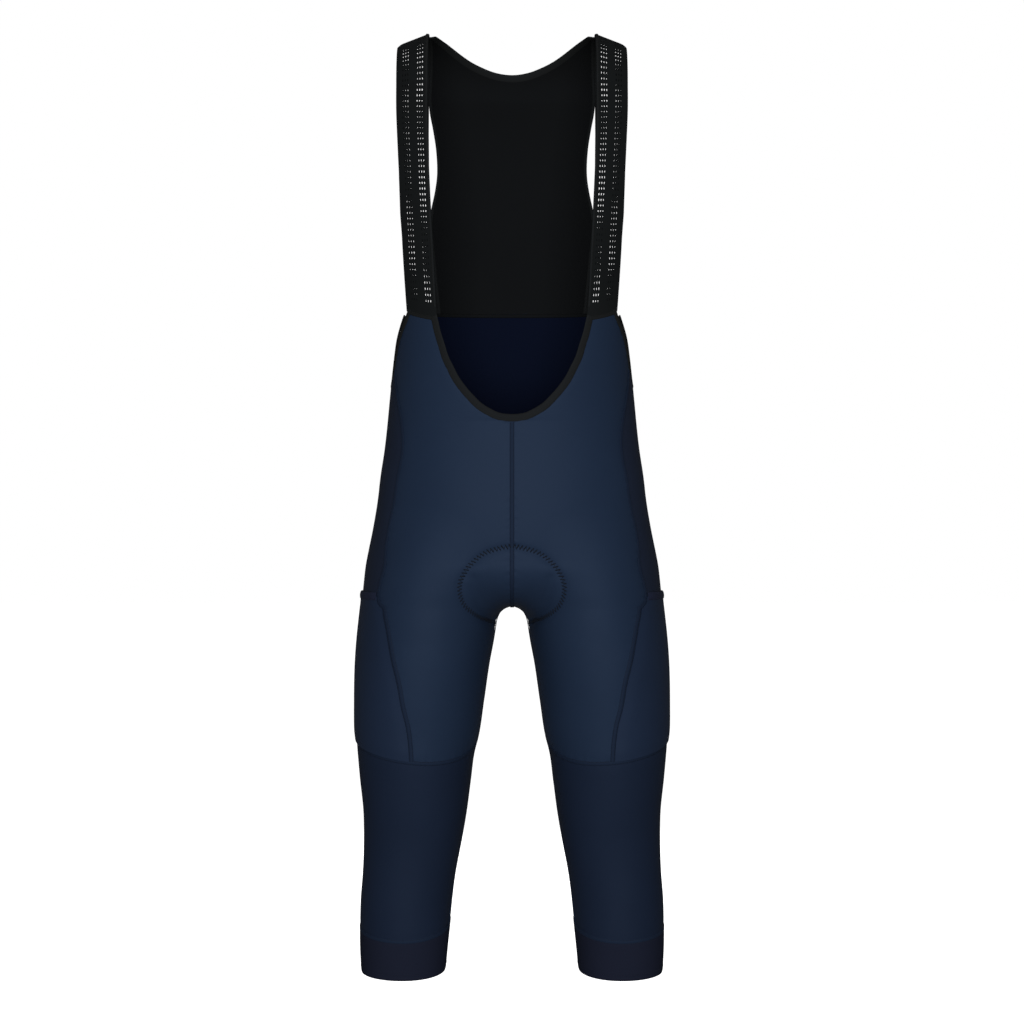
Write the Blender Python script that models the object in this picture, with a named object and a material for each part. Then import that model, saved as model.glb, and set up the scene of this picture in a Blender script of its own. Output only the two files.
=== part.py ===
"""Bib knickers, as worn and filled out: one cloth body over the legs, held up by two straps. Metres, +Z up, the front faces -Y, and the origin lies at the shoulders."""

import math

import bpy
import numpy as np

MM = 0.001
CLOTH = 1.2 * MM  # wall of a cloth piece
SEAM = 0.15 * MM  # half of the gap between neighbours


def table(columns, *rows):
    """Named columns in mm, sorted by the first."""
    values = np.array(sorted(rows), float) * MM
    return {name: values[:, i] for i, name in enumerate(columns.split())}


# The wearer's trunk: height below the shoulder, half of the width, and the depth in front and behind.
TRUNK = table(
    "height half_width front back",
    (-60, 152, -76, 77),
    (-100, 156, -88, 90),
    (-150, 157, -98, 98),
    (-200, 151, -104, 100),
    (-260, 141, -107, 94),
    (-320, 136.5, -107, 86),
    (-350, 136.5, -105, 84),
    (-387, 137.6, -103.5, 85),
    (-422, 140.9, -104, 90),
    (-474, 146.4, -106, 104),
    (-508, 151.4, -107, 114),
    (-543, 154.3, -107, 120),
    (-577, 155.4, -105, 120),
    (-600, 155.4, -102, 115),
)
ARCH_FOOT = -60 * MM  # the rounding over the shoulders starts here
TRUNK_FLOOR, CROTCH = -600 * MM, -650.5 * MM
TRUNK_POWER, FLOOR_POWER = 2.45, 2.3

# One leg: height, the outer and inner side, front and back.
LEG = table(
    "height outer inner front back",
    (-520, 134, 2, -60, 70),
    (-560, 150, 4, -84, 98),
    (-600, 163.2, 7, -95, 111),
    (-640, 170.8, 13, -97, 105),
    (-669, 174.2, 17.6, -96, 98),
    (-692, 176.4, 21.2, -94, 93),
    (-715, 177.9, 25.6, -92, 89),
    (-761, 179.0, 32.4, -86, 82),
    (-804, 178.5, 39.1, -79, 74),
    (-819, 177.2, 43.0, -77, 71),
    (-853, 174.2, 47.7, -70, 67),
    (-888, 170.8, 52.3, -62, 66),
    (-922, 170.4, 58, -54, 67),
    (-957, 171.8, 64.4, -48, 68),
    (-991, 174.6, 69, -44, 67),
    (-1020, 175.2, 71.6, -41, 65),
    (-1043, 174.8, 74.2, -39, 62),
    (-1072, 173.6, 76.6, -37, 59),
    (-1090, 172.6, 77.4, -36, 58),
)
LEG_POWER = 2.15
BLEND, LEG_BLEND = 22 * MM, 15 * MM

# Seam lines on the body: (round, height), where round is 0 at the front centre or inseam, 0.5 at the side and 1 at the back centre.
SCOOP = ((0.2425, -328.7), (0.2306, -347.5), (0.2187, -360.7), (0.2072, -373.7), (0.1902, -385.9), (0.1735, -397.2), (0.1494, -409.3), (0.1248, -419.6), (0.1, -428.9), (0.0696, -436.4), (0.043, -441.3), (0.0178, -443.2), (0, -443.5))
ARM_FRONT = ((0.3255, -321.3), (0.343, -331), (0.368, -342), (0.395, -357), (0.414, -371))
ARM_UNDER = tuple((r, -403.2 + 5500 * (r - 0.488) ** 2) for r in np.linspace(0.425, 0.55, 11))
ARM_BACK = ((0.572, -368), (0.598, -348), (0.628, -330), (0.655, -313.8))
SIDE_FRONT = ((0.425, -381.4), (0.412, -396), (0.385, -414), (0.345, -441.4), (0.3225, -469.7), (0.3245, -513.5), (0.328, -541.6), (0.3315, -563), (0.3294, -584.4), (0.3215, -606), (0.335, -626), (0.343, -640), (0.3285, -677.3), (0.3129, -708.4), (0.2971, -731.8), (0.2848, -755.2), (0.2728, -772), (0.2640, -794), (0.2620, -804))
SIDE_BACK = ((0.55, -382.1), (0.57, -400), (0.605, -430), (0.635, -470), (0.655, -520), (0.662, -560), (0.66, -600), (0.658, -640), (0.668, -690), (0.69, -740), (0.715, -780), (0.73, -804))
WAIST_SEAM = -313.5  # the black back piece ends here
LOWER_ROWS = (-460, -485, -510, -535, -560, -582, -600, -614, -626, -636, -643, -648, -651, -653.5, -657, -662, -669, -679, -692, -710, -730, -752, -778, -804)
KNEE, CUFF_SEAM, HEM = -804, -1020.5, -1072.5
KNEE_DIP, CUFF_DIP, HEM_DIP = 23, 12.5, 5.5

# Over the shoulder: the strap's inner and outer edge by height, and the side and neck of the black back piece.
STRAP = table("height inner outer", (-330, 83.6, 117.6), (-322, 84.2, 118), (-252, 87.9, 122.3), (-196, 91.1, 124.6), (-137, 93.6, 127.4), (-84, 95.0, 129.7), (-60, 95.0, 129.9))
STRAP_THICK = 1.5 * MM
BACK_STRAP = ((0, 95.0, 129.9), (0.3, 95.2, 130.2), (0.7, 96.2, 131.2), (1.0, 97.6, 132.6), (1.4, 98.3, 133.2), (1.9, 98.1, 132.8), (2.35, 97.0, 131.2), (2.9, 93.2, 126.8), (3.535, 86.6, 118.8))
YOKE_SIDE = ((0.12, 94.65), (0.3, 94.8), (0.5, 95.2), (0.7, 95.8), (0.86, 96.5), (1.0, 97.2), (1.12, 96.4), (1.35, 92.3), (1.58, 88.9), (1.86, 87.9), (2.04, 90.1), (2.16, 92.5), (2.28, 95.0), (2.38, 96.4), (2.9, 92.8), (3.2, 89.8), (3.535, 86.2))
NECKLINE = ((0, 0.745), (12, 0.735), (24, 0.695), (38, 0.62), (52, 0.52), (66, 0.40), (80, 0.245), (90, 0.11), (94.6, 0.03))
NECK_WIDTH, ARM_WIDTH, BACK_NECK_WIDTH = 7 * MM, 5 * MM, 8 * MM


def read(tab, column, height):
    """A column of a table at these heights, by a smooth curve through its rows."""
    heights, values = tab["height"], tab[column]
    height = np.clip(height, heights[0], heights[-1])
    i = np.clip(np.searchsorted(heights, height) - 1, 0, len(heights) - 2)
    slope = np.gradient(values, heights)
    step = heights[i + 1] - heights[i]
    t = (height - heights[i]) / step
    return values[i] * (1 + 2 * t) * (1 - t) ** 2 + values[i + 1] * t * t * (3 - 2 * t) + step * (slope[i] * t * (1 - t) ** 2 + slope[i + 1] * t * t * (t - 1))


def oval(x, y, half_width, front, back, power):
    """How far out of an oval section a point lies: 1 on it. With it comes a length that turns that into metres."""
    depth = np.where(y < 0, -front, back)
    return (np.abs(x / half_width) ** power + np.abs(y / depth) ** power) ** (1 / power), np.minimum(half_width, depth)


def trunk_gap(x, y, z):
    level = np.clip(z, TRUNK_FLOOR, ARCH_FOOT)
    out, size = oval(x, y, read(TRUNK, "half_width", level), read(TRUNK, "front", level), read(TRUNK, "back", level), TRUNK_POWER)
    height = TRUNK_FLOOR - CROTCH
    down = np.maximum(TRUNK_FLOOR - z, 0) / height
    out = (out**FLOOR_POWER + down**FLOOR_POWER) ** (1 / FLOOR_POWER)
    ease = np.clip(down / 0.85, 0, 1)
    ease = ease * ease * (3 - 2 * ease)
    return (out - 1) * (size + (np.minimum(size, height) - size) * ease)


def leg_gap(x, y, z):
    outer, inner, front, back = (read(LEG, name, z) for name in ("outer", "inner", "front", "back"))
    middle = (front + back) / 2
    out, size = oval(x - (outer + inner) / 2, y - middle, (outer - inner) / 2, front - middle, back - middle, LEG_POWER)
    above = np.maximum(z - LEG["height"][-1], 0)
    gap = (out - 1) * size
    return np.where(above > 0, np.hypot(np.maximum(gap, 0), above), gap)


def joined(a, b, reach):
    near = np.maximum(reach - np.abs(a - b), 0) / reach
    return np.minimum(a, b) - near * near * reach / 4


def gap(x, y, z):
    """Negative inside the wearer's form and 0 on the cloth."""
    return joined(joined(leg_gap(x, y, z), leg_gap(-x, y, z), LEG_BLEND), trunk_gap(x, y, z), BLEND)


def rise(p):
    """The gradient of gap at points of shape (..., 3)."""
    step = 0.4 * MM
    x, y, z = p[..., 0], p[..., 1], p[..., 2]
    return np.stack([gap(x + step, y, z) - gap(x - step, y, z), gap(x, y + step, z) - gap(x, y - step, z), gap(x, y, z + step) - gap(x, y, z - step)], -1) / (2 * step)


def outward(p):
    n = rise(p)
    return n / np.linalg.norm(n, axis=-1, keepdims=True)


LEVELS = np.array(sorted(set(np.round(np.concatenate([np.arange(-1088, -660, 4.0), np.arange(-660, -640, 0.8), np.arange(-640, -306, 3.0)]), 3)))) * MM
ROUND = np.linspace(0, 1, 161)


def girths():
    """The form's outline on the wearer's left at each level, as equal steps round it, and its length."""
    outlines, lengths = [], []
    angle = np.linspace(-math.pi, math.pi, 1441)
    for z in LEVELS:
        inner, outer = read(LEG, "inner", z), read(LEG, "outer", z)
        cx = 60 * MM if z > -550 * MM else (inner + outer) / 2
        near, far = np.zeros(angle.size), np.minimum(0.3, cx / np.maximum(-np.cos(angle), 1e-6))
        for _ in range(30):
            mid = (near + far) / 2
            inside = gap(cx + np.cos(angle) * mid, np.sin(angle) * mid, np.full(angle.size, z)) < 0
            near, far = np.where(inside, mid, near), np.where(inside, far, mid)
        x, y = cx + np.cos(angle) * near, np.sin(angle) * near
        if x.min() < 1e-6:
            keep = x > 1e-6
            x, y = np.concatenate([[0], x[keep], [0]]), np.concatenate([y[keep][:1], y[keep], y[keep][-1:]])
        length = np.concatenate([[0], np.cumsum(np.hypot(np.diff(x), np.diff(y)))])
        outlines.append(np.stack([np.interp(ROUND * length[-1], length, x), np.interp(ROUND * length[-1], length, y)], -1))
        lengths.append(length[-1])
    return np.array(outlines), np.array(lengths)


OUTLINES, GIRTHS = girths()


def body(around, height):
    """Points of the form at (round, height in mm), and their normals."""
    around, z = np.broadcast_arrays(np.asarray(around, float), np.asarray(height, float) * MM)
    i = np.clip(np.searchsorted(LEVELS, z) - 1, 0, len(LEVELS) - 2)
    t = ((z - LEVELS[i]) / (LEVELS[i + 1] - LEVELS[i]))[..., None]
    place = np.clip(around, 0, 1) * (len(ROUND) - 1)
    j = np.clip(place.astype(int), 0, len(ROUND) - 2)
    f = (place - j)[..., None]
    xy = (1 - t) * ((1 - f) * OUTLINES[i, j] + f * OUTLINES[i, j + 1]) + t * ((1 - f) * OUTLINES[i + 1, j] + f * OUTLINES[i + 1, j + 1])
    p = np.concatenate([xy, z[..., None]], -1)
    return p, outward(p)


PAD_HUB = np.array([0, 5, -560]) * MM


def under_crotch(turn, out):
    """Points of the form between the legs, and their normals. turn is degrees round the hub, 0 to the front, 90 down and 180 to the back, and out is metres along the form from the middle plane, one column for each step."""
    turn = np.radians(np.asarray(turn, float))
    toward = np.stack([0 * turn, -np.cos(turn), -np.sin(turn)], -1)
    near, far = np.zeros(turn.size), np.full(turn.size, 0.25)
    for _ in range(30):
        mid = (near + far) / 2
        q = PAD_HUB + toward * mid[:, None]
        inside = gap(q[:, 0], q[:, 1], q[:, 2]) < 0
        near, far = np.where(inside, mid, near), np.where(inside, far, mid)
    p = PAD_HUB + toward * near[:, None]
    plane = np.cross([1, 0, 0], toward)
    ahead = np.tile([1.0, 0, 0], (turn.size, 1))
    path = [p]
    for _ in range(80):
        step = np.cross(outward(p), plane)
        step /= np.linalg.norm(step, axis=1, keepdims=True)
        step *= np.sign((step * ahead).sum(1, keepdims=True))
        p, ahead = p + step * MM, step
        for _ in range(2):
            n = rise(p)
            n -= (n * plane).sum(1, keepdims=True) * plane
            p = p - n * (gap(p[:, 0], p[:, 1], p[:, 2]) / (n * n).sum(1))[:, None]
        path.append(p)
    path = np.array(path)
    at = np.clip(out / MM, 0, 79.99)
    i, f = at.astype(int), (at % 1)[..., None]
    row = np.arange(turn.size)[:, None]
    p = path[i, row] * (1 - f) + path[i + 1, row] * f
    return p, outward(p)


def girth(height):
    return np.interp(np.asarray(height) * MM, LEVELS, GIRTHS)


def ridge(x):
    """Height of the shoulder line."""
    return 3.5 * MM - 0.376 * np.maximum(np.abs(x) - 96 * MM, 0)


def over_point(x, q):
    x, q = np.broadcast_arrays(np.asarray(x, float), np.asarray(q, float))
    side = np.where(q < 0, -1.0, 1.0)
    turn = (1 - np.minimum(np.abs(q), 1)) * math.pi / 2
    z = np.where(np.abs(q) > 1, ARCH_FOOT - (np.abs(q) - 1) * 0.1, ARCH_FOOT + (ridge(x) - ARCH_FOOT) * np.sin(turn))
    level = np.minimum(z, ARCH_FOOT)
    flat = (1 - np.minimum(np.abs(x) / read(TRUNK, "half_width", level), 0.999) ** TRUNK_POWER) ** (1 / TRUNK_POWER)
    depth = np.where(side < 0, -read(TRUNK, "front", level), read(TRUNK, "back", level))
    return np.stack([x, side * depth * flat * np.cos(turn), z], -1)


def over(x, q):
    """Points over the shoulder at (x, q), and their normals: q is -1 to 1 over the rounding, with 0 on its top and the front below 0, and 1 more for each 100 mm down."""
    x, q = np.broadcast_arrays(np.asarray(x, float), np.asarray(q, float))
    across = over_point(x + 1e-4, q) - over_point(x - 1e-4, q)
    along = over_point(x, q + 1e-3) - over_point(x, q - 1e-3)
    n = np.cross(across, along)
    return over_point(x, q), n / np.linalg.norm(n, axis=-1, keepdims=True)


def curve(rows, height):
    """The round of a seam line at these heights."""
    rows = sorted((h, r) for r, h in rows)
    return np.interp(height, [h for h, _ in rows], [r for _, r in rows])


def dip(around, depth):
    """How far a seam that slopes down in front lies below its height at the sides."""
    turn = 2 * math.pi * np.asarray(around)
    return -depth * (np.sin(turn) + 0.12 * np.sin(2 * turn))


def fabric(name, red, green, blue):
    material = bpy.data.materials.new(name)
    material.use_nodes = True
    shader = material.node_tree.nodes["Principled BSDF"]
    shader.inputs["Base Color"].default_value = (red, green, blue, 1)
    shader.inputs["Roughness"].default_value = 0.7
    return material


def add(name, verts, faces, colour):
    mesh = bpy.data.meshes.new(name)
    mesh.from_pydata([tuple(v) for v in verts], [], faces)
    mesh.materials.append(fabric(name, *colour))
    obj = bpy.data.objects.new(name, mesh)
    bpy.context.scene.collection.objects.link(obj)
    return obj


def shell(p, n, thick, lift=0.0, tube=False):
    """Vertices and faces of a wall whose outer side is the grid p moved out by lift. A tube closes on itself."""
    rows, cols = p.shape[:2]
    verts = np.concatenate([(p + n * lift).reshape(-1, 3), (p + n * (lift - thick)).reshape(-1, 3)])
    inner = rows * cols
    faces = []
    for r in range(rows - 1):
        for c in range(cols if tube else cols - 1):
            a, b = r * cols + c, r * cols + (c + 1) % cols
            d, e = a + cols, b + cols
            if np.linalg.norm(verts[a] - verts[e]) < np.linalg.norm(verts[b] - verts[d]):
                halves = ((a, d, e), (a, e, b))
            else:
                halves = ((a, d, b), (b, d, e))
            for one in halves:
                faces += [one, tuple(v + inner for v in one[::-1])]
    for c in range(cols if tube else cols - 1):
        a, b = c, (c + 1) % cols
        faces.append((a, b, b + inner, a + inner))
        a, b = a + (rows - 1) * cols, b + (rows - 1) * cols
        faces.append((a, a + inner, b + inner, b))
    if not tube:
        for r in range(rows - 1):
            a, d = r * cols, (r + 1) * cols
            faces.append((a, a + inner, d + inner, d))
            a, d = a + cols - 1, d + cols - 1
            faces.append((a, d, d + inner, a + inner))
    return verts, faces


def signed(verts, faces):
    v = np.asarray(verts)
    return sum(np.dot(v[f[0]], np.cross(v[f[i]], v[f[i + 1]])) for f in faces for i in range(1, len(f) - 1))


def pair(name, verts, faces, colour):
    """The piece on the wearer's left, at +X, and its mirror image."""
    if signed(verts, faces) < 0:
        faces = [f[::-1] for f in faces]
    add(name + "_left", verts, faces, colour)
    add(name + "_right", np.asarray(verts) * (-1, 1, 1), [f[::-1] for f in faces], colour)


def single(name, verts, faces, colour):
    if signed(verts, faces) < 0:
        faces = [f[::-1] for f in faces]
    add(name, verts, faces, colour)


def ribbon(points, normals, toward, width, thick, lift):
    """A flat band beside a line on the form: from the line, out by width to the side that toward gives."""
    tangent = np.gradient(points, axis=0)
    tangent /= np.linalg.norm(tangent, axis=1, keepdims=True)
    side = np.cross(normals, tangent) * toward
    side /= np.linalg.norm(side, axis=1, keepdims=True)
    near, far = points + side * 2 * SEAM, points + side * (2 * SEAM + width)
    p = np.stack([near, far], 1)
    n = np.stack([normals, normals], 1)
    return shell(p, n, thick, lift)


def inset(left, right, height):
    """Pulls the two ends of a row in by half a seam's gap."""
    edge = SEAM / girth(height)
    return left + edge, right - edge


NEAR_CENTRE = np.linspace(0, 1, 10) ** 1.4  # the columns crowd towards the middle of the front and of the back


def rows_between(left, right, heights_left, heights_right, u, knee=None):
    """A grid on the body whose row k runs from left[k] to right[k]."""
    u = u[None, :]
    left, right, hl, hr = (np.asarray(v, float)[:, None] for v in (left, right, heights_left, heights_right))
    low, high = inset(left, right, (hl + hr) / 2)
    around = low + (high - low) * u
    height = hl + (hr - hl) * u
    if knee is not None:
        height = height + np.asarray(knee)[:, None] * dip(around, KNEE_DIP)
    return around, height


def knee_share(heights):
    """How much of the knee seam's slope a row takes on."""
    return np.clip((-692 - np.asarray(heights, float)) / 112, 0, 1) ** 1.4


for old in list(bpy.data.objects):
    bpy.data.objects.remove(old, do_unlink=True)

NAVY, BLACK, CUFF, TRIM = (0.016, 0.030, 0.065), (0.010, 0.011, 0.012), (0.010, 0.015, 0.028), (0.014, 0.014, 0.014)
lower = np.array(LOWER_ROWS, float)
lower_shown = lower.copy()
lower_shown[-1] += 0.15  # the knee seam's gap

# The front: scoop edge and centre seam on one side, armhole edge and side seam on the other.
mid_right = np.array([-393, -404.5, -412, -420, -428, -436, -443.5])
front_left = [r for r, _ in SCOOP] + [0] * len(lower)
front_left_height = [h for _, h in SCOOP] + list(lower_shown)
front_right = [r for r, _ in (*ARM_FRONT, ARM_UNDER[0])] + list(curve(SIDE_FRONT, mid_right)) + list(curve(SIDE_FRONT, lower))
front_right_height = [h for _, h in (*ARM_FRONT, ARM_UNDER[0])] + list(mid_right) + list(lower_shown)
share = np.concatenate([np.zeros(13), knee_share(lower)])
around, height = rows_between(front_left, front_right, front_left_height, front_right_height, NEAR_CENTRE, share)
pair("front", *shell(*body(around, height), CLOTH), NAVY)

# The seat and the backs of the legs.
back_mid = np.array([-382.1 - (h + 381.4) * 45.9 / -46.6 for h in (-393, -404.5, -412, -420, -428)] + [-436, -443.5])
back_right = [1] * (5 + len(back_mid) + len(lower))
back_centre_height = list(np.linspace(WAIST_SEAM - 0.3, -436, 11)) + [-443.5] + list(lower_shown)
back_side = [r for r, _ in (*ARM_BACK[::-1], ARM_UNDER[-1])] + list(curve(SIDE_BACK, back_mid)) + list(curve(SIDE_BACK, lower))
back_side_height = [h for _, h in (*ARM_BACK[::-1], ARM_UNDER[-1])] + list(back_mid) + list(lower_shown)
share = np.concatenate([np.zeros(12), knee_share(lower)])
around, height = rows_between(back_side, back_right, back_side_height, back_centre_height, 1 - NEAR_CENTRE[::-1], share)
pair("back", *shell(*body(around, height), CLOTH), NAVY)

# The side panel, from the foot of the armhole to the knee seam.
u = (np.array([r for r, _ in ARM_UNDER]) - 0.425) / 0.125
tops = np.array([h for _, h in ARM_UNDER])
side_around, side_height = [], []
for share_down in (0, 11.6 / 46.6, 23.1 / 46.6, 30.6 / 46.6, 38.6 / 46.6, 1):
    heights = tops + (-428 - tops) * share_down
    low, high = curve(SIDE_FRONT, heights[0]), curve(SIDE_BACK, heights[-1])
    low, high = inset(low, high, heights.mean())
    side_around.append(low + (high - low) * u)
    side_height.append(heights)
rest = np.concatenate([[-436, -443.5], lower])
low, high = inset(curve(SIDE_FRONT, rest), curve(SIDE_BACK, rest), rest)
share = np.concatenate([[0, 0], knee_share(lower)])
rest_around = low[:, None] + (high - low)[:, None] * u
rest_height = np.concatenate([[-436, -443.5], lower_shown])[:, None] + share[:, None] * dip(rest_around, KNEE_DIP)
side_around, side_height = np.vstack([side_around, rest_around]), np.vstack([side_height, rest_height])
pair("side", *shell(*body(side_around, side_height), CLOTH), NAVY)

# The thigh pocket lies on the side panel, with its hemmed mouth above it.
pocket_rows = np.array([-644, -651, -662, -679, -692, -710, -730, -752, -778, -802])
low, high = curve(SIDE_FRONT, pocket_rows) + 0.003, curve(SIDE_BACK, pocket_rows) - 0.003
around = low[:, None] + (high - low)[:, None] * u
height = pocket_rows[:, None] + knee_share(pocket_rows)[:, None] * dip(around, KNEE_DIP)
pair("pocket", *shell(*body(around, height), CLOTH, 2.2 * MM), NAVY)
hem_rows = np.array([-636, -643.6])
low, high = curve(SIDE_FRONT, hem_rows) + 0.003, curve(SIDE_BACK, hem_rows) - 0.003
around = low[:, None] + (high - low)[:, None] * u
pair("pocket_hem", *shell(*body(around, hem_rows[:, None] + 0 * around), 1.8 * MM, 2.9 * MM), NAVY)

# The lower legs and the cuffs are closed tubes.
loop = np.concatenate([0.262 * NEAR_CENTRE[:-1], (0.262 + 0.468 * u)[:-1], 1 - 0.27 * NEAR_CENTRE[:0:-1]])[None, :]
shin_rows = np.array([KNEE - 0.15, -822, -842, -865, -890, -915, -940, -965, -993, CUFF_SEAM + 0.15])
slope = np.interp(-shin_rows, [804, 900, 1020.5], [KNEE_DIP, 14, CUFF_DIP])
height = shin_rows[:, None] + np.array([dip(loop[0], d) for d in slope])
pair("shin", *shell(*body(loop + 0 * height, height), CLOTH, tube=True), NAVY)
cuff_rows = np.array([CUFF_SEAM - 0.15, -1037, -1055, HEM])
slope = np.interp(-cuff_rows, [1020.5, 1072.5], [CUFF_DIP, HEM_DIP])
height = cuff_rows[:, None] + np.array([dip(loop[0], d) for d in slope])
pair("cuff", *shell(*body(loop + 0 * height, height), 1.6 * MM, 0.2 * MM, tube=True), CUFF)

# The straps run from the front over the shoulders and down the back to the waist seam.
strap_q = np.array([-3.6, -3.2, -2.8, -2.4, -2.0, -1.6, -1.3, -1.0, -0.85, -0.7, -0.55, -0.4, -0.27, -0.14, 0, 0.14, 0.28, 0.42, 0.56, 0.7, 0.85, 1.0, 1.2, 1.4, 1.65, 1.9, 2.15, 2.38, 2.7, 3.05, 3.3, 3.535])
u = np.linspace(0, 1, 5)[None, :]
z = ARCH_FOOT - np.maximum(np.abs(strap_q) - 1, 0) * 0.1
back_q, back_inner, back_outer = np.array(BACK_STRAP).T
inner = np.where(strap_q > 0, np.interp(strap_q, back_q, back_inner) * MM, read(STRAP, "inner", z))
outer = np.where(strap_q > 0, np.interp(strap_q, back_q, back_outer) * MM, read(STRAP, "outer", z))
x = inner[:, None] * (1 - u) + outer[:, None] * u
q = strap_q[:, None] + 0 * u
q[0] = -(1 + (np.array([328.3, 327.4, 325.3, 322.7, 319.4]) - 60) / 100)
pair("strap", *shell(*over(x, q), STRAP_THICK, 0.15 * MM), BLACK)

# The black back piece hangs between the straps, from the neck to the waist. A slot is left open beside each strap, behind the shoulder.
u = np.linspace(-1, 1, 17)
side_q = np.array([q for q, _ in YOKE_SIDE])
side_x = np.array([x for _, x in YOKE_SIDE]) * MM
down = np.linspace(0, 1, len(side_q))
x = side_x[:, None] * u[None, :]
neck_q = np.interp(np.abs(x[0]), [a * MM for a, _ in NECKLINE], [b for _, b in NECKLINE]) + (BACK_NECK_WIDTH + 2 * SEAM) / 0.104
top_q = neck_q[None, :] + 0 * x
side_down = (side_q - side_q[0]) / (side_q[-1] - side_q[0])
part = down[:, None] + (side_down - down)[:, None] * (np.abs(u) ** 2)[None, :]
last = 1 + (-60 - WAIST_SEAM) / 100
q = top_q + (last - top_q) * part
p, n = over(x, q)
single("back_yoke", *shell(p, n, CLOTH), BLACK)
neck_p, neck_n = p[0], n[0]

# The bindings run along the edges.
s, h = np.array(SCOOP).T
p, n = body(s[1:-1], h[1:-1])
first_p, first_n = body(0.2419, -331.6)
end_p, end_n = body(0.0, -443.5)
p, n = np.vstack([first_p[None], p, end_p[None]]), np.vstack([first_n[None], n, end_n[None]])
p, n = np.vstack([p, p[-2::-1] * (-1, 1, 1)]), np.vstack([n, n[-2::-1] * (-1, 1, 1)])
single("neck_binding", *ribbon(p, n, -1, NECK_WIDTH, 1.7 * MM, 0.3 * MM), TRIM)
single("back_neck_binding", *ribbon(neck_p, neck_n, -1, BACK_NECK_WIDTH, 1.7 * MM, 0.3 * MM), TRIM)
path = [*ARM_FRONT, *ARM_UNDER, *ARM_BACK]
s, h = np.array(path).T
s[0], h[0] = s[0] + 0.0062, h[0] - 3.45  # clear of the strap's front end
s[-1], h[-1] = s[-1] - 0.007, h[-1] - 4.2  # clear of its back end
p, n = body(s, h)
pair("armhole_binding", *ribbon(p, n, 1, ARM_WIDTH, 1.7 * MM, 0.3 * MM), TRIM)

# The padding inside, between the legs.
turn = np.array([13.5, 16, 21, 29, 38, 47, 55, 63, 74, 90, 106, 120, 135, 150, 163, 173, 180])
half = np.interp(turn, [12, 14, 20, 29, 38, 47, 55, 63, 75, 90, 105, 120, 135, 150, 165, 177, 183], [8, 18, 36, 47, 54, 57, 53, 46, 38, 36, 44, 56, 64, 66, 58, 36, 10]) * MM
w = np.array([0, 0.2, 0.45, 0.72, 1.0])
p, n = under_crotch(turn, half[:, None] * w[None, :])
p[:, 0, 0], n[:, 0, 0] = 0, 0
swell = np.sin(np.pi * np.clip((turn - 10) / 175, 0, 1))[:, None] ** 0.5 * (1 - w[None, :] ** 2)
outer, inner = p - n * 3.8 * MM, p - n * (5.2 * MM + 4.5 * MM * swell[..., None])
both = [np.concatenate([g[:, :0:-1] * (-1, 1, 1), g], 1) for g in (outer, inner)]
verts, faces = shell(both[0], 0 * both[0], 0)
verts[len(verts) // 2 :] = both[1].reshape(-1, 3)
single("padding", verts, faces, (0.05, 0.06, 0.08))
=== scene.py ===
# %% [markdown]
# Bib knickers for cycling: tight stretch cloth from the waist to the calf, held
# up by two straps. This lesson dresses the rigid model of them. Every panel is
# cut as a flat grid, laid on the wearer's form, and given its thickness.

# %% Load the frame
import math

import bpy
import numpy as np
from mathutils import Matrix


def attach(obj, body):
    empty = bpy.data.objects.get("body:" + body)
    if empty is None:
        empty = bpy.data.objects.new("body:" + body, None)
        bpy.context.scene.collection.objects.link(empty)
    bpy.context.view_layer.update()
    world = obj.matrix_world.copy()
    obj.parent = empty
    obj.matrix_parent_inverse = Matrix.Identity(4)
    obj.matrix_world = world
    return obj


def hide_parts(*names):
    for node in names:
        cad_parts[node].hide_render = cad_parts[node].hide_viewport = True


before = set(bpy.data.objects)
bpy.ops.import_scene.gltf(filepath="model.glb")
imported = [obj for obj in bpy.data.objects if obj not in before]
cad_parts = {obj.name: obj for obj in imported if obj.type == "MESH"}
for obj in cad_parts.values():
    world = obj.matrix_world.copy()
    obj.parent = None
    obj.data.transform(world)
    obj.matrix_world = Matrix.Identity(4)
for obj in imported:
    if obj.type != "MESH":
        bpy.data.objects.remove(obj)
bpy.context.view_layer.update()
MM = 0.001
print("nodes:", len(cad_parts))

# %% [markdown]
# The photograph is taken from straight ahead, at the height of the hips. A long
# lens 3 m away keeps the straps and the hems almost the same size, so the camera
# is set from the distance and the width that it sees there.

# %% Camera
SEEN_WIDTH, DISTANCE, EYE, SENSOR = 1.1776, 3.0, -0.545, 36
bpy.ops.object.camera_add(location=(0, -DISTANCE, EYE), rotation=(math.pi / 2, 0, 0))
camera = bpy.context.object
camera.name = "camera"
camera.data.sensor_width = SENSOR
camera.data.lens = SENSOR * DISTANCE / SEEN_WIDTH
camera.data.clip_end = 50
bpy.context.scene.camera = camera
print("lens:", round(camera.data.lens), "mm")

# %% [markdown]
# The wearer isn't there, but the cloth keeps the wearer's shape. The form is a
# table of oval sections for the trunk and one for a leg, blended where they
# meet. One formula says how far a point lies inside or outside it.

# %% The wearer's form


def table(columns, *rows):
    """Named columns in mm, sorted by the first."""
    values = np.array(sorted(rows), float) * MM
    return {name: values[:, i] for i, name in enumerate(columns.split())}


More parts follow.
